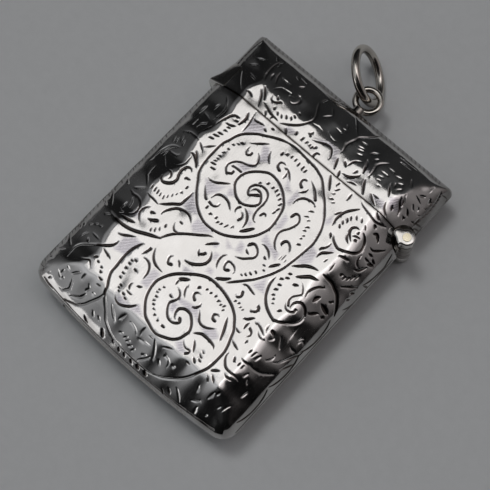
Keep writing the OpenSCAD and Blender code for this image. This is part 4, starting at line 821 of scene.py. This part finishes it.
# Striker: a silver bar let into the base between the two sheets, filed across with teeth to strike
# a match on. It is worn grey and dull.
worn_silver = silver_material("worn silver", (0.60, 0.58, 0.55), 0.3)
striker_half, striker_low, striker_high = 11.0, 3.3, 5.7
striker_deep, striker_sunk = 1.3, 0.18
tooth_pitch, tooth_deep, tooth_land, tooth_slope = 0.6, 0.3, 0.3, 0.25
bm = bmesh.new()
bmesh.ops.create_grid(bm, x_segments=8 * round(2 * striker_half / tooth_pitch), y_segments=16, size=1)
for vert in bm.verts:
    across = vert.co.x * striker_half
    z = striker_low + (vert.co.y + 1) / 2 * (striker_high - striker_low)
    land = min(z - striker_low, striker_high - z, striker_half - abs(across))
    toothed = min(max((land - tooth_land) / tooth_slope, 0), 1)
    sunk = striker_sunk + tooth_deep * toothed * abs((across / tooth_pitch) % 1 * 2 - 1)
    turn = across / base_bow_r
    reach = base_bow_r - sunk
    vert.co = (reach * math.sin(turn), base_bow_r - end_y - reach * math.cos(turn), z)
back = bmesh.ops.extrude_face_region(bm, geom=bm.faces[:], use_keep_orig=True)["geom"]
back_verts = [v for v in back if isinstance(v, bmesh.types.BMVert)]
bmesh.ops.translate(bm, verts=back_verts, vec=(0, striker_deep, 0))
bmesh.ops.recalc_face_normals(bm, faces=bm.faces)
bmesh.ops.scale(bm, vec=(mm, mm, mm), verts=bm.verts)
add_piece("striker", bm, [worn_silver], "body", "worn_silver", "striker_bar", sharp=30)


# Mouth: a strip of silver, gilt like the lining and soldered inside the mouth of the body. It stands
# up into the lid and guides it shut.
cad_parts["mouth_bezel"].material_slots[0].material = gilt


# Lid sheets: the front and the back of the lid are raised, engraved and gilt like the body's sheets,
# and soldered together along the same seam. Their pattern carries the body's on across the joint.
lid_cuts = [
    (.37, "t", -9.56,15, -8.75,14.69, -8,14.38, -7.13,14.19, -6.13,14.19),
    (.32, "t", -6,14.06, -5.25,14.44, -4.5,14.94, -3.75,15.63, -3.25,16.38, -2.94,17.13, -2.88,17.75,
     -3.13,18.5, -3.63,19.25, -4,19.88),
    (.42, "k", -10.94,16.75, -10.25,16, -9.63,15.13),
    (.36, "k", -11.06,16.19, -10.38,15.38, -9.63,13.94),
    (.32, "t", -11.94,19.25, -12.06,18.5, -11.81,17.75, -11.5,17.31),
    (.32, "t", -11.31,19.13, -11.25,18.5, -11,18),
    (.34, "t", -11.7,21.9, -12.05,21.1, -12.2,20.2, -12.15,19.3, -12,18.4, -11.6,17.6),
    (.28, "k", -13,21.9, -12.4,21.1),
    (.3, "t", -15.1,19.5, -14.4,19.75, -13.6,19.95),
    (.3, "t", -15.3,18.25, -14.7,18.5, -14.1,18.75),
    (.36, "k", -14.1,17.1, -13.2,16.8, -12.5,16.55),
    (.34, "t", -15.6,16.9, -14.8,15.8, -13.9,14.8, -13.1,14.1),
    (.3, "k", -12.4,14.6, -11.8,14.65, -11.2,14.4),
    (.3, "k", -3.6,21.8, -3.75,21.2, -3.8,20.5),
    (.3, "t", -4.1,20.2, -3.5,19.2, -2.9,18.2),
    (.3, "k", -8.4,21.7, -7.8,21.65, -7.2,21.5),
    (.3, "k", -9,21.3, -8.4,21),
    (.28, "k", -7.6,20, -7,20.7),
    (.26, "t", 9,22.1, 10.5,22.25, 12,22.3),
    (.26, "t", 9.4,21.3, 10.5,21.45, 11.6,21.5),
    (.3, "k", 12.4,20.1, 13.1,19.3),
    (.34, "k", 15.5,21.9, 15.3,21),
    (.4, "k", 16.3,20, 16.8,19.3),
    (.27, "t", -11.75,21, -11.94,20.25),
    (.32, "t", -10.88,19.94, -10.63,19, -10.13,18),
    (.32, "b", -7.63,18.38, -8.38,18.31, -9.13,18.13, -9.63,17.5, -9.75,17),
    (.32, "b", -6.5,18.88, -6.06,18.5, -6.13,17.75, -6.69,17.25, -7.31,17.56, -7.5,18, -6.81,18.13),
    (.37, "b", -7.75,16.38, -8.38,15.88, -9,15.88, -9.38,16.5),
    (.32, "t", -8.69,16.88, -8.13,16.25),
    (.32, "t", -10.13,19.38, -8.38,19.35),
    (.22, "k", -8.5,14.2, -8,13.5),
    (.32, "k", -4.81,14.1, -4.25,13.5),
    (.27, "t", -1.63,16.31, -1.75,15.63, -2.19,15.69),
    (.27, "t", -1.75,15.63, -1.44,15.31),
    (.32, "t", -1.06,15.25, -.38,15.44, .38,15.81, 1.13,16.06, 1.75,15.94, 2.19,15.38, 2.44,14.81,
     2.4,14.44),
    (.37, "b", .56,13.44, .56,13.94, .81,14.25, 1.31,14.31),
    (.27, "t", -2.7,16.95, -1.63,17.13, -.63,17),
    (.27, "t", -.25,17.63, .38,17.19, 1.13,17.04, 1.69,17.19),
    (.27, "t", -2.25,18.75, -1.38,19.88),
    (.22, "t", -2.25,21, -1.4,20),
    (.27, "t", .13,18.81, 1.38,18.63),
    (.32, "t", 3.13,16.25, 3,17, 2.81,17.75, 2.94,18.5, 3.19,19.25, 3.31,19.88, 3.75,20.5, 4.25,21.13,
     4.75,22.13, 5,23),
    (.27, "t", .75,22.88, 1.63,21.63, 2.38,20.63, 3,19.94),
    (.32, "t", 6,19, 6.25,19.5, 7,20.06),
    (.27, "t", 7,18.75, 7.38,19.25),
    (.50, "k", 6.31,18.13, 6.69,17.5, 6.94,16.75, 7.13,16.13),
    (.32, "t", 8.75,19.81, 8.13,19.13, 7.75,18.38, 7.88,17.5, 8,16.75, 7.94,16),
    (.42, "k", 7.88,15.75, 8.31,14.88, 9.06,13.81),
    (.32, "t", 6.13,17.38, 5.5,17, 5.13,16.5, 4.94,15.88, 4.81,15.31),
    (.42, "k", 4.2,15.8, 4.85,15.3),
    (.27, "t", 6.31,16.13, 6.28,15.63, 6.06,15.25),
    (.40, "t", 7,15.88, 6.88,15.38, 6.38,14.75, 5.75,14.38, 5,14.35),
    (.27, "t", 6.25,13.81, 6.88,14.13, 7.63,14.28),
    (.37, "k", 3.19,15.63, 3.5,14.88, 3.88,14),
    (.37, "k", 4.56,14.38, 4.94,13.5),
    (.37, "k", 9.69,14.69, 10.38,14.13, 11.19,13.69),
    (.22, "t", 9.94,14.81, 10.5,14.75, 11.13,14.85),
    (.37, "k", 10.81,17.5, 11.25,16.75, 11.81,15.88),
    (.32, "t", 11.94,15.25, 12.25,14.5, 12.75,13.94, 13.25,13.56),
    (.32, "t", 13.31,17.88, 13.5,17.25, 13.81,16.5, 13.9,16),
    (.32, "t", 13,17.38, 13.38,16.38, 14,15.63, 14.38,14.75),
    (.32, "t", 14.31,18.75, 15,18.56, 15.69,18.38),
    (.42, "k", 14.75,19.1, 15.5,19.63),
    (.22, "t", 15.63,21.13, 15.4,20.3),
    (.32, "t", 14.88,17.63, 15.31,17.13, 15.63,17.06),
    (.37, "k", 15.88,17.88, 16.15,17.38),
    (.32, "t", 14.75,16.5, 15.5,15.81),
    (.32, "t", 15,15.38, 15.38,15.06),
    (.42, "t", 16.88,22.38, 17.25,21.38, 17.56,20.38, 17.69,19.13, 17.56,17.88, 17.38,16.63, 17.19,15.63),
]
lid_nicks = [
    (-7.79,15.19,.4,.3,-60), (-7,14.9,.6,.26,-50), (-6.35,14.94,.6,.26,-50), (-5.78,15.31,.6,.3,-45),
    (-5.19,15.63,.5,.3,-40), (-4.98,16.13,.5,.3,-30), (-4.75,16.88,.4,.3,-30), (-7.25,14,.4,.3,90),
    (-3.25,14.5,.5,.35,-60), (-2.13,14.44,.6,.3,80), (-1.4,14.41,.4,.26,80), (-.78,14.4,.35,.26,80),
    (-.4,14.35,.5,.26,80), (-.03,14.63,.5,.26,80), (1.2,19.4,.6,.26,-10), (1.1,20.1,.6,.26,-40),
    (4.5,19.8,1,.26,10), (4.6,18.93,1,.26,15), (4.75,18.55,.8,.26,20), (5.05,17.93,.8,.26,20),
    (11.38,17.75,.7,.3,-70), (12.19,17.63,.8,.3,50), (11.81,18.44,.7,.26,30), (9.2,17.4,.9,.22,15),
    (9.3,16.78,.6,.22,20), (9.8,16.18,.4,.18,20), (9.3,18.13,1.1,.3,5), (9.75,19.2,1,.26,0),
    (11.05,19.08,.9,.26,15), (13.13,15,.6,.35,-55),
]
# Rolled edges of the lid: close nicks along the end and the sides, with a line by the seam.
for i in range(44):
    along = -16.5 + 0.75 * i
    lid_cuts.append((.26, "t", along - 0.85,25.1, along - 0.45,24.2,
                     along - 0.1,23.2 - 0.25 * math.sin(5 * i)))
for side in (-1, 1):
    for i in range(12):
        top = 22.6 - 0.66 * i
        lid_cuts.append((.24, "t", side * 19.4,top + 0.1, side * (18 - 0.2 * math.sin(5 * i)),top - 0.35,
                         side * (17 - 0.5 * math.sin(3 * i)),top - 0.9))
    lid_cuts.append((.16, "f", side * seam_u,15.4, side * seam_u,19, side * seam_u,22.5))
lid_cuts.append((.16, "f", -16.5,25.45, -8,25.45, 0,25.45, 8,25.45, 16.5,25.45))
lid_cuts.append((.42, "t", -16.88,22.38, -17.25,21.38, -17.56,20.38, -17.69,19.13, -17.56,17.88,
                 -17.38,16.63, -17.19,15.63))
lid_grounds = [
    (-4.5,14.6, -3.2,14.6, -3.8,13.7, -5,14), (-1,15.6, 1,16.6, 3,16.6, 2.6,15, 2,16),
    (2.5,15.2, 3.2,15.8, 3.2,14.3), (5.2,13.9, 7.6,15, 7.9,15.6, 7,14.4),
    (7.1,17.5, 7.6,17.6, 7.7,16.2, 7.2,16.3), (10,14.7, 11.8,15, 12.5,14, 11,14),
    (11.9,16, 13.5,17, 14.2,15.3, 12.9,14.5),
]
for side, front in (("front", True), ("back", False)):
    engraved_sheet(f"lid_{side}", "lid", front, mouth_y + joint_gap, end_v,
                   lid_cuts, lid_nicks, lid_grounds, [engraved_silver, gilt])


# Thumbpiece: a small silver half-moon lip soldered to the lid where it meets the body, to push the
# lid open with a thumbnail. It slopes back into the lid's rolled side away from the mouth.
plain_silver = silver_material("plain silver", (0.70, 0.68, 0.65), 0.13)
lip_outline = ((-15.6, 7.28), (-18.15, 5.95), (-18.42, 4.5), (-18.15, 3.05),
               (-15.6, 1.72), (-16.5, 2.75), (-17.1, 4.5), (-16.5, 6.25))
lip_steps = ((0.3, 0.06), (1.3, 0.66), (2.3, 0.46))
lip_front_x, lip_narrowing, lip_edge = -17.2, 0.4, 0.07
bm = bmesh.new()
lip_end = bm.faces.new([bm.verts.new((x, mouth_y + joint_gap, z)) for x, z in lip_outline])
for place, (length, back) in enumerate(lip_steps):
    start = lip_end
    made = bmesh.ops.extrude_face_region(bm, geom=[start], use_keep_orig=True)["geom"]
    lip_end = [f for f in made if isinstance(f, bmesh.types.BMFace)][0]
    if place > 0:
        bmesh.ops.delete(bm, geom=[start], context="FACES_ONLY")
    bmesh.ops.translate(bm, verts=lip_end.verts, vec=(0, length, 0))
    for vert in [v for v in lip_end.verts if v.co.x < lip_front_x]:
        narrowing = lip_narrowing if vert.co.z > 5 else -lip_narrowing if vert.co.z < 4 else 0
        bmesh.ops.translate(bm, verts=[vert], vec=(back, 0, back * narrowing))
bmesh.ops.recalc_face_normals(bm, faces=bm.faces)
bmesh.ops.bevel(bm, geom=[e for e in bm.edges if e.calc_face_angle(0) > 0.3], offset=lip_edge,
                offset_type="OFFSET", segments=2, profile=0.5, affect="EDGES", material=-1)
bmesh.ops.scale(bm, vec=(mm, mm, mm), verts=bm.verts)
add_piece("thumb_lip", bm, [plain_silver], "lid", "silver", "thumbpiece")


# Hinge: five silver knuckles in a barrel across the right side, soldered by turns to the body and
# the lid on strips behind the notch, with a brass pin through them all. The end knuckles have a
# wing that lies on the rolled side.
# A darker silver for the knuckles that lie back in the notch and for the seat under the loop: painted
# shade, with some tarnish.
shade_darkened_silver = silver_material("shade darkened silver", (0.33, 0.31, 0.285), 0.16)
painted_shade_silver = silver_material("painted shade silver", (0.07, 0.062, 0.055), 0.4)
knuckle_r, pin_r, pin_clear = 1.19, 0.6, 0.04
wing, wing_at, wing_half, wing_round = 0.72, 190, 44, 0.28
seat_deep, body_seat, lid_seat, edge_round = 0.24, (186, 270), (90, 174), 0.03
knuckles = (("body_knuckle_back", "body", 0.5, 2.06), ("lid_knuckle_back", "lid", 2.14, 3.66),
            ("body_knuckle_middle", "body", 3.74, 5.26), ("lid_knuckle_front", "lid", 5.34, 6.86),
            ("body_knuckle_front", "body", 6.94, 8.5))
for name, body, low, high in knuckles:
    winged = name in ("body_knuckle_back", "body_knuckle_front")
    seat_from, seat_to = body_seat if body == "body" else lid_seat
    bm = bmesh.new()
    bmesh.ops.create_circle(bm, segments=48, radius=pin_r + (pin_clear if body == "lid" else 0))
    rim = bmesh.ops.create_circle(bm, segments=48, radius=knuckle_r)["verts"]
    for vert in rim:
        turn = math.degrees(math.atan2(vert.co.y, vert.co.x)) % 360
        off = abs(turn - wing_at) / wing_half
        out = wing * math.cos(off * math.pi / 2) ** 1.5 if winged and off < 1 else 0
        vert.co *= 1 + max(out, seat_deep if seat_from < turn < seat_to else 0) / knuckle_r
    bmesh.ops.bridge_loops(bm, edges=bm.edges[:])
    top = bmesh.ops.extrude_face_region(bm, geom=bm.faces[:])["geom"]
    top_verts = [v for v in top if isinstance(v, bmesh.types.BMVert)]
    bmesh.ops.translate(bm, verts=top_verts, vec=(0, 0, high - low))
    bmesh.ops.recalc_face_normals(bm, faces=bm.faces)
    corners = [e for e in bm.edges if e.calc_face_angle(0) > 1.2 and e.verts[0].co.xy.length > 1]
    bmesh.ops.bevel(bm, geom=corners, offset=wing_round if winged else edge_round, offset_type="OFFSET",
                    segments=4, profile=0.5, affect="EDGES", material=-1)
    put = Matrix.Scale(mm, 4) @ Matrix.Translation((hinge_x, mouth_y, low))
    bmesh.ops.transform(bm, verts=bm.verts, matrix=put)
    # The three knuckles between the winged ones take the darker silver as painted shade in the notch.
    knuckle_silver = plain_silver if winged else shade_darkened_silver
    add_piece(name.replace("knuckle", "barrel"), bm, [knuckle_silver], body, "silver", name, sharp=35)
# The bearers behind the notch are near black: painted shade in the recess round the barrel.
for node in ("body_hinge_bearer", "lid_hinge_bearer"):
    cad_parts[node].material_slots[0].material = painted_shade_silver
brass, brass_shader, brass_place = new_material("pin brass")
brass_cloud = noise(brass, brass_place, Scale=2.0, Detail=4.0)
brass_tone = ramp(brass, brass_cloud, (0.3, (0.84, 0.76, 0.56)), (0.7, (0.95, 0.89, 0.72)))
surface(brass, brass_shader, brass_tone, ramp(brass, brass_cloud, (0.3, 0.2), (0.7, 0.3)))
pin_profile = ((0.001, 8.6), (0.57, 8.59), (pin_r, 8.56), (pin_r, 8.5),
               (pin_r, 0.56), (0.54, 0.46), (0.4, 0.4), (0.001, 0.4))
bm = bmesh.new()
profile = [bm.verts.new((r, 0, z)) for r, z in pin_profile]
for a, b in zip(profile, profile[1:]):
    bm.edges.new((a, b))
bmesh.ops.spin(bm, geom=bm.verts[:] + bm.edges[:], cent=(0, 0, 0), axis=(0, 0, 1), angle=2 * math.pi,
               steps=32, use_merge=True)
bmesh.ops.remove_doubles(bm, verts=bm.verts, dist=0.01)
bmesh.ops.recalc_face_normals(bm, faces=bm.faces)
put = Matrix.Scale(mm, 4) @ Matrix.Translation((hinge_x, mouth_y, 0))
bmesh.ops.transform(bm, verts=bm.verts, matrix=put)
add_piece("pin", bm, [brass], "body", "pin_brass", "hinge_pin", sharp=15)


# Spring: a thin leaf of brushed steel that holds the lid shut or open. Two silver rivets hold it to a
# silver block that is soldered inside the hinge side.
steel, steel_shader, steel_place = new_material("spring steel")
steel_drawn = noise(steel, steel_place, ((0, 0, 0), (3, 0.15, 3)), Scale=3.0, Detail=4.0)
steel_tone = ramp(steel, steel_drawn, (0.3, (0.20, 0.21, 0.24)), (0.7, (0.40, 0.41, 0.44)))
surface(steel, steel_shader, steel_tone, ramp(steel, steel_drawn, (0.3, 0.25), (0.7, 0.45)))
bump(steel, steel_shader, steel_drawn, 0.004)
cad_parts["lid_spring"].material_slots[0].material = steel
for node in ("spring_block", "spring_rivets"):
    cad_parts[node].material_slots[0].material = worn_silver


# Fixed loop: a small ring of round silver wire soldered to the middle of the lid end on a seat. It is
# darker than the case, because no cloth reaches it, and its lower side is darkened more as painted shade.
wire_silver = silver_material("wire silver", (0.66, 0.62, 0.565), 0.13, cut=True)
loop_centre, loop_axis, loop_r, loop_wire = (0, 26.025, 4.5), (0, 0, 1), 1.76, 0.94
top_tarnish, under_painted_shade, under_shade_from, under_shade_fade = 0.04, 0.2, 0.62, 0.6


# Round wire bent to a ring and soldered shut, lightly tarnished all over, with painted shade on the side
# turned down.
def wire_ring(name, centre, axis, ring_r, wire, body, node):
    bm = bmesh.new()
    tarnish_and_underside_shade = bm.verts.layers.float.new("cut")
    bmesh.ops.create_circle(bm, segments=28, radius=wire / 2)
    bmesh.ops.rotate(bm, verts=bm.verts, cent=(0, 0, 0), matrix=Matrix.Rotation(math.pi / 2, 3, "X"))
    bmesh.ops.translate(bm, verts=bm.verts, vec=(ring_r, 0, 0))
    bmesh.ops.spin(bm, geom=bm.verts[:] + bm.edges[:], cent=(0, 0, 0), axis=(0, 0, 1), angle=2 * math.pi,
                   steps=96, use_merge=True)
    bmesh.ops.recalc_face_normals(bm, faces=bm.faces)
    turn = Vector((0, 0, 1)).rotation_difference(Vector(axis)).to_matrix().to_4x4()
    bmesh.ops.transform(bm, verts=bm.verts, matrix=Matrix.Scale(mm, 4) @ Matrix.Translation(centre) @ turn)
    bm.normal_update()
    for vert in bm.verts:
        under = min(max((under_shade_from - vert.normal.z) / under_shade_fade, 0), 1)
        vert[tarnish_and_underside_shade] = top_tarnish + under_painted_shade * under
    add_piece(name, bm, [wire_silver], body, "silver", node)


wire_ring("fixed_loop", loop_centre, loop_axis, loop_r, loop_wire, "lid", "ring_loop")
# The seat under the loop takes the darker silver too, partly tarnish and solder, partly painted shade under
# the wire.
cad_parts["loop_seat"].material_slots[0].material = shade_darkened_silver


# Suspension ring: a larger ring of round silver wire that hangs through the loop, for a watch chain.
# Its ends are soldered shut, and at rest it leans on the table.
ring_centre, ring_axis, ring_r, ring_wire = (-2.5895, 29.087, 3.9465), (0.637, 0.5736, 0.515), 3.875, 1.25
wire_ring("chain_ring", ring_centre, ring_axis, ring_r, ring_wire, "ring", "suspension_ring")


# Table: a plain pale grey board with a dull, slightly mottled face, which the case lies on. It isn't
# part of the case.
table_half = 1.5
bm = bmesh.new()
bmesh.ops.create_grid(bm, x_segments=8, y_segments=8, size=table_half)
table_mesh = bpy.data.meshes.new("table")
bm.to_mesh(table_mesh)
bm.free()
table = bpy.data.objects.new("table", table_mesh)
bpy.context.scene.collection.objects.link(table)
board, board_shader, board_place = new_material("table board")
board_shader.inputs["Metallic"].default_value = 0
board_shader.inputs["Specular IOR Level"].default_value = 0.2
board_mottle = noise(board, board_place, Scale=0.6, Detail=6.0, Roughness=0.7)
board_tone = ramp(board, board_mottle, (0.3, (0.6, 0.615, 0.622)), (0.7, (0.63, 0.645, 0.652)))
surface(board, board_shader, board_tone, ramp(board, board_mottle, (0.3, 0.6), (0.7, 0.75)))
table_mesh.materials.append(board)


# Light: a soft box above and behind the case, in a wider glow, a low card before it and a soft fill.
# They stand in a dark room with two pale sides.
def area_light(name, place, size, glow, turn=None, colour=(1, 1, 1)):
    light = bpy.data.lights.new(name, "AREA")
    light.shape = "RECTANGLE"
    light.size, light.size_y = size
    light.energy = math.pi * size[0] * size[1] * glow
    light.color = colour
    lamp = bpy.data.objects.new(name, light)
    lamp.location = place
    if turn is None:
        lamp.rotation_euler = (-Vector(place)).to_track_quat("-Z", "Y").to_euler()
    else:
        lamp.rotation_euler = (0, 0, math.radians(turn))
    lamp.visible_camera = False
    bpy.context.scene.collection.objects.link(lamp)


area_light("soft box", (-0.07, 0.15, 0.7), (0.34, 0.24), 0.68, turn=0, colour=(1, 0.985, 0.97))
area_light("soft box glow", (-0.02, 0.105, 0.715), (0.46, 0.33), 0.38, turn=0, colour=(1, 0.985, 0.98))
area_light("low card", (-0.203, -0.457, 0.105), (0.15, 0.19), 0.95)
spot = bpy.data.lights.new("fill", "SPOT")
spot.energy, spot.spot_size, spot.spot_blend, spot.shadow_soft_size = 12.6, math.radians(20), 0.8, 0.2
fill = bpy.data.objects.new("fill", spot)
fill.location = (-0.3, 0.06, 0.75)
fill.rotation_euler = (-fill.location).to_track_quat("-Z", "Y").to_euler()
fill.visible_glossy = fill.visible_camera = False
bpy.context.scene.collection.objects.link(fill)

# Tones of the room's walls, each with its place round the room as a share of a turn.
low_walls = [(0.0, 0.065), (0.042, 0.12), (0.083, 0.2), (0.125, 0.3), (0.167, 0.3), (0.205, 0.24),
             (0.222, 0.12), (0.24, 0.008), (0.514, 0.004), (0.531, 0.012), (0.541, 0.1), (0.583, 0.2),
             (0.625, 0.2), (0.708, 0.06), (0.75, 0.03), (0.833, 0.012), (0.917, 0.011), (0.953, 0.012),
             (0.963, 0.028), (0.972, 0.045), (1.0, 0.065)]
high_walls = [(0.0, 0.45), (0.083, 0.5), (0.167, 0.6), (0.212, 0.42), (0.238, 0.05), (0.444, 0.01),
              (0.5, 0.02), (0.539, 0.03), (0.547, 0.55), (0.557, 0.75), (0.583, 0.9), (0.639, 0.9),
              (0.694, 0.7), (0.75, 0.3), (0.785, 0.05), (0.875, 0.04), (0.917, 0.15), (1.0, 0.45)]
walls_turn_at = (0.62, 0.88)
warm, cool = (1.02, 0.955, 0.965), (0.965, 0.985, 1.02)
warm_from, warm_to = 0.53, 0.72
seen_grey = 0.24
world = bpy.data.worlds.new("room")
world.use_nodes = True
bpy.context.scene.world = world
room = world.node_tree
room.nodes.clear()
room_out = room.nodes.new("ShaderNodeOutputWorld")
room_light = room.nodes.new("ShaderNodeBackground")
room_seen = room.nodes.new("ShaderNodeBackground")
room_seen.inputs["Color"].default_value = (seen_grey, seen_grey, seen_grey, 1)
room_mix = room.nodes.new("ShaderNodeMixShader")
room_path = room.nodes.new("ShaderNodeLightPath")
room_where = room.nodes.new("ShaderNodeTexCoord")
room_round = room.nodes.new("ShaderNodeTexGradient")
room_round.gradient_type = "RADIAL"
room_split = room.nodes.new("ShaderNodeSeparateXYZ")
room_height = room.nodes.new("ShaderNodeValToRGB")
for element, at in zip(room_height.color_ramp.elements, walls_turn_at):
    element.position = at
room_walls = room.nodes.new("ShaderNodeMix")
room_walls.data_type = "RGBA"
room.links.new(room_where.outputs["Generated"], room_round.inputs[0])
room.links.new(room_where.outputs["Generated"], room_split.inputs[0])
room.links.new(room_split.outputs["Z"], room_height.inputs[0])
room.links.new(room_height.outputs[0], room_walls.inputs[0])
for socket, walls in ((6, low_walls), (7, high_walls)):
    room_ramp = room.nodes.new("ShaderNodeValToRGB")
    while len(room_ramp.color_ramp.elements) < len(walls):
        room_ramp.color_ramp.elements.new(0.5)
    for element, (at, tone) in zip(room_ramp.color_ramp.elements, walls):
        tint = warm if warm_from < at < warm_to else cool
        element.position = at
        element.color = (*(tone * t for t in tint), 1)
    room.links.new(room_round.outputs[0], room_ramp.inputs[0])
    room.links.new(room_ramp.outputs[0], room_walls.inputs[socket])
room.links.new(room_walls.outputs[2], room_light.inputs[0])
room.links.new(room_path.outputs["Is Camera Ray"], room_mix.inputs[0])
room.links.new(room_light.outputs[0], room_mix.inputs[1])
room.links.new(room_seen.outputs[0], room_mix.inputs[2])
room.links.new(room_mix.outputs[0], room_out.inputs[0])


# Camera: a long lens that looks down on the case from its lower right, with the case turned so that
# the lid end points to the upper right.
camera_right = Vector((0.7429, 0.6694, 0.0010))
camera_up = Vector((-0.6416, 0.7116, 0.2862))
camera_back = Vector((0.1909, -0.2133, 0.9582))
camera_aim, camera_away = Vector((1.239, -0.824, 4.5)), 197.59
camera_data = bpy.data.cameras.new("camera")
camera_data.lens, camera_data.sensor_width = 108, 36
camera_data.clip_start = 0.01
camera = bpy.data.objects.new("camera", camera_data)
bpy.context.scene.collection.objects.link(camera)
camera_turn = Matrix((camera_right, camera_up, camera_back)).transposed().to_4x4()
camera_place = camera_aim * mm + camera_back * camera_away * mm
camera.matrix_world = Matrix.Translation(camera_place) @ camera_turn
bpy.context.scene.camera = camera
bpy.context.scene.view_settings.view_transform = "Standard"
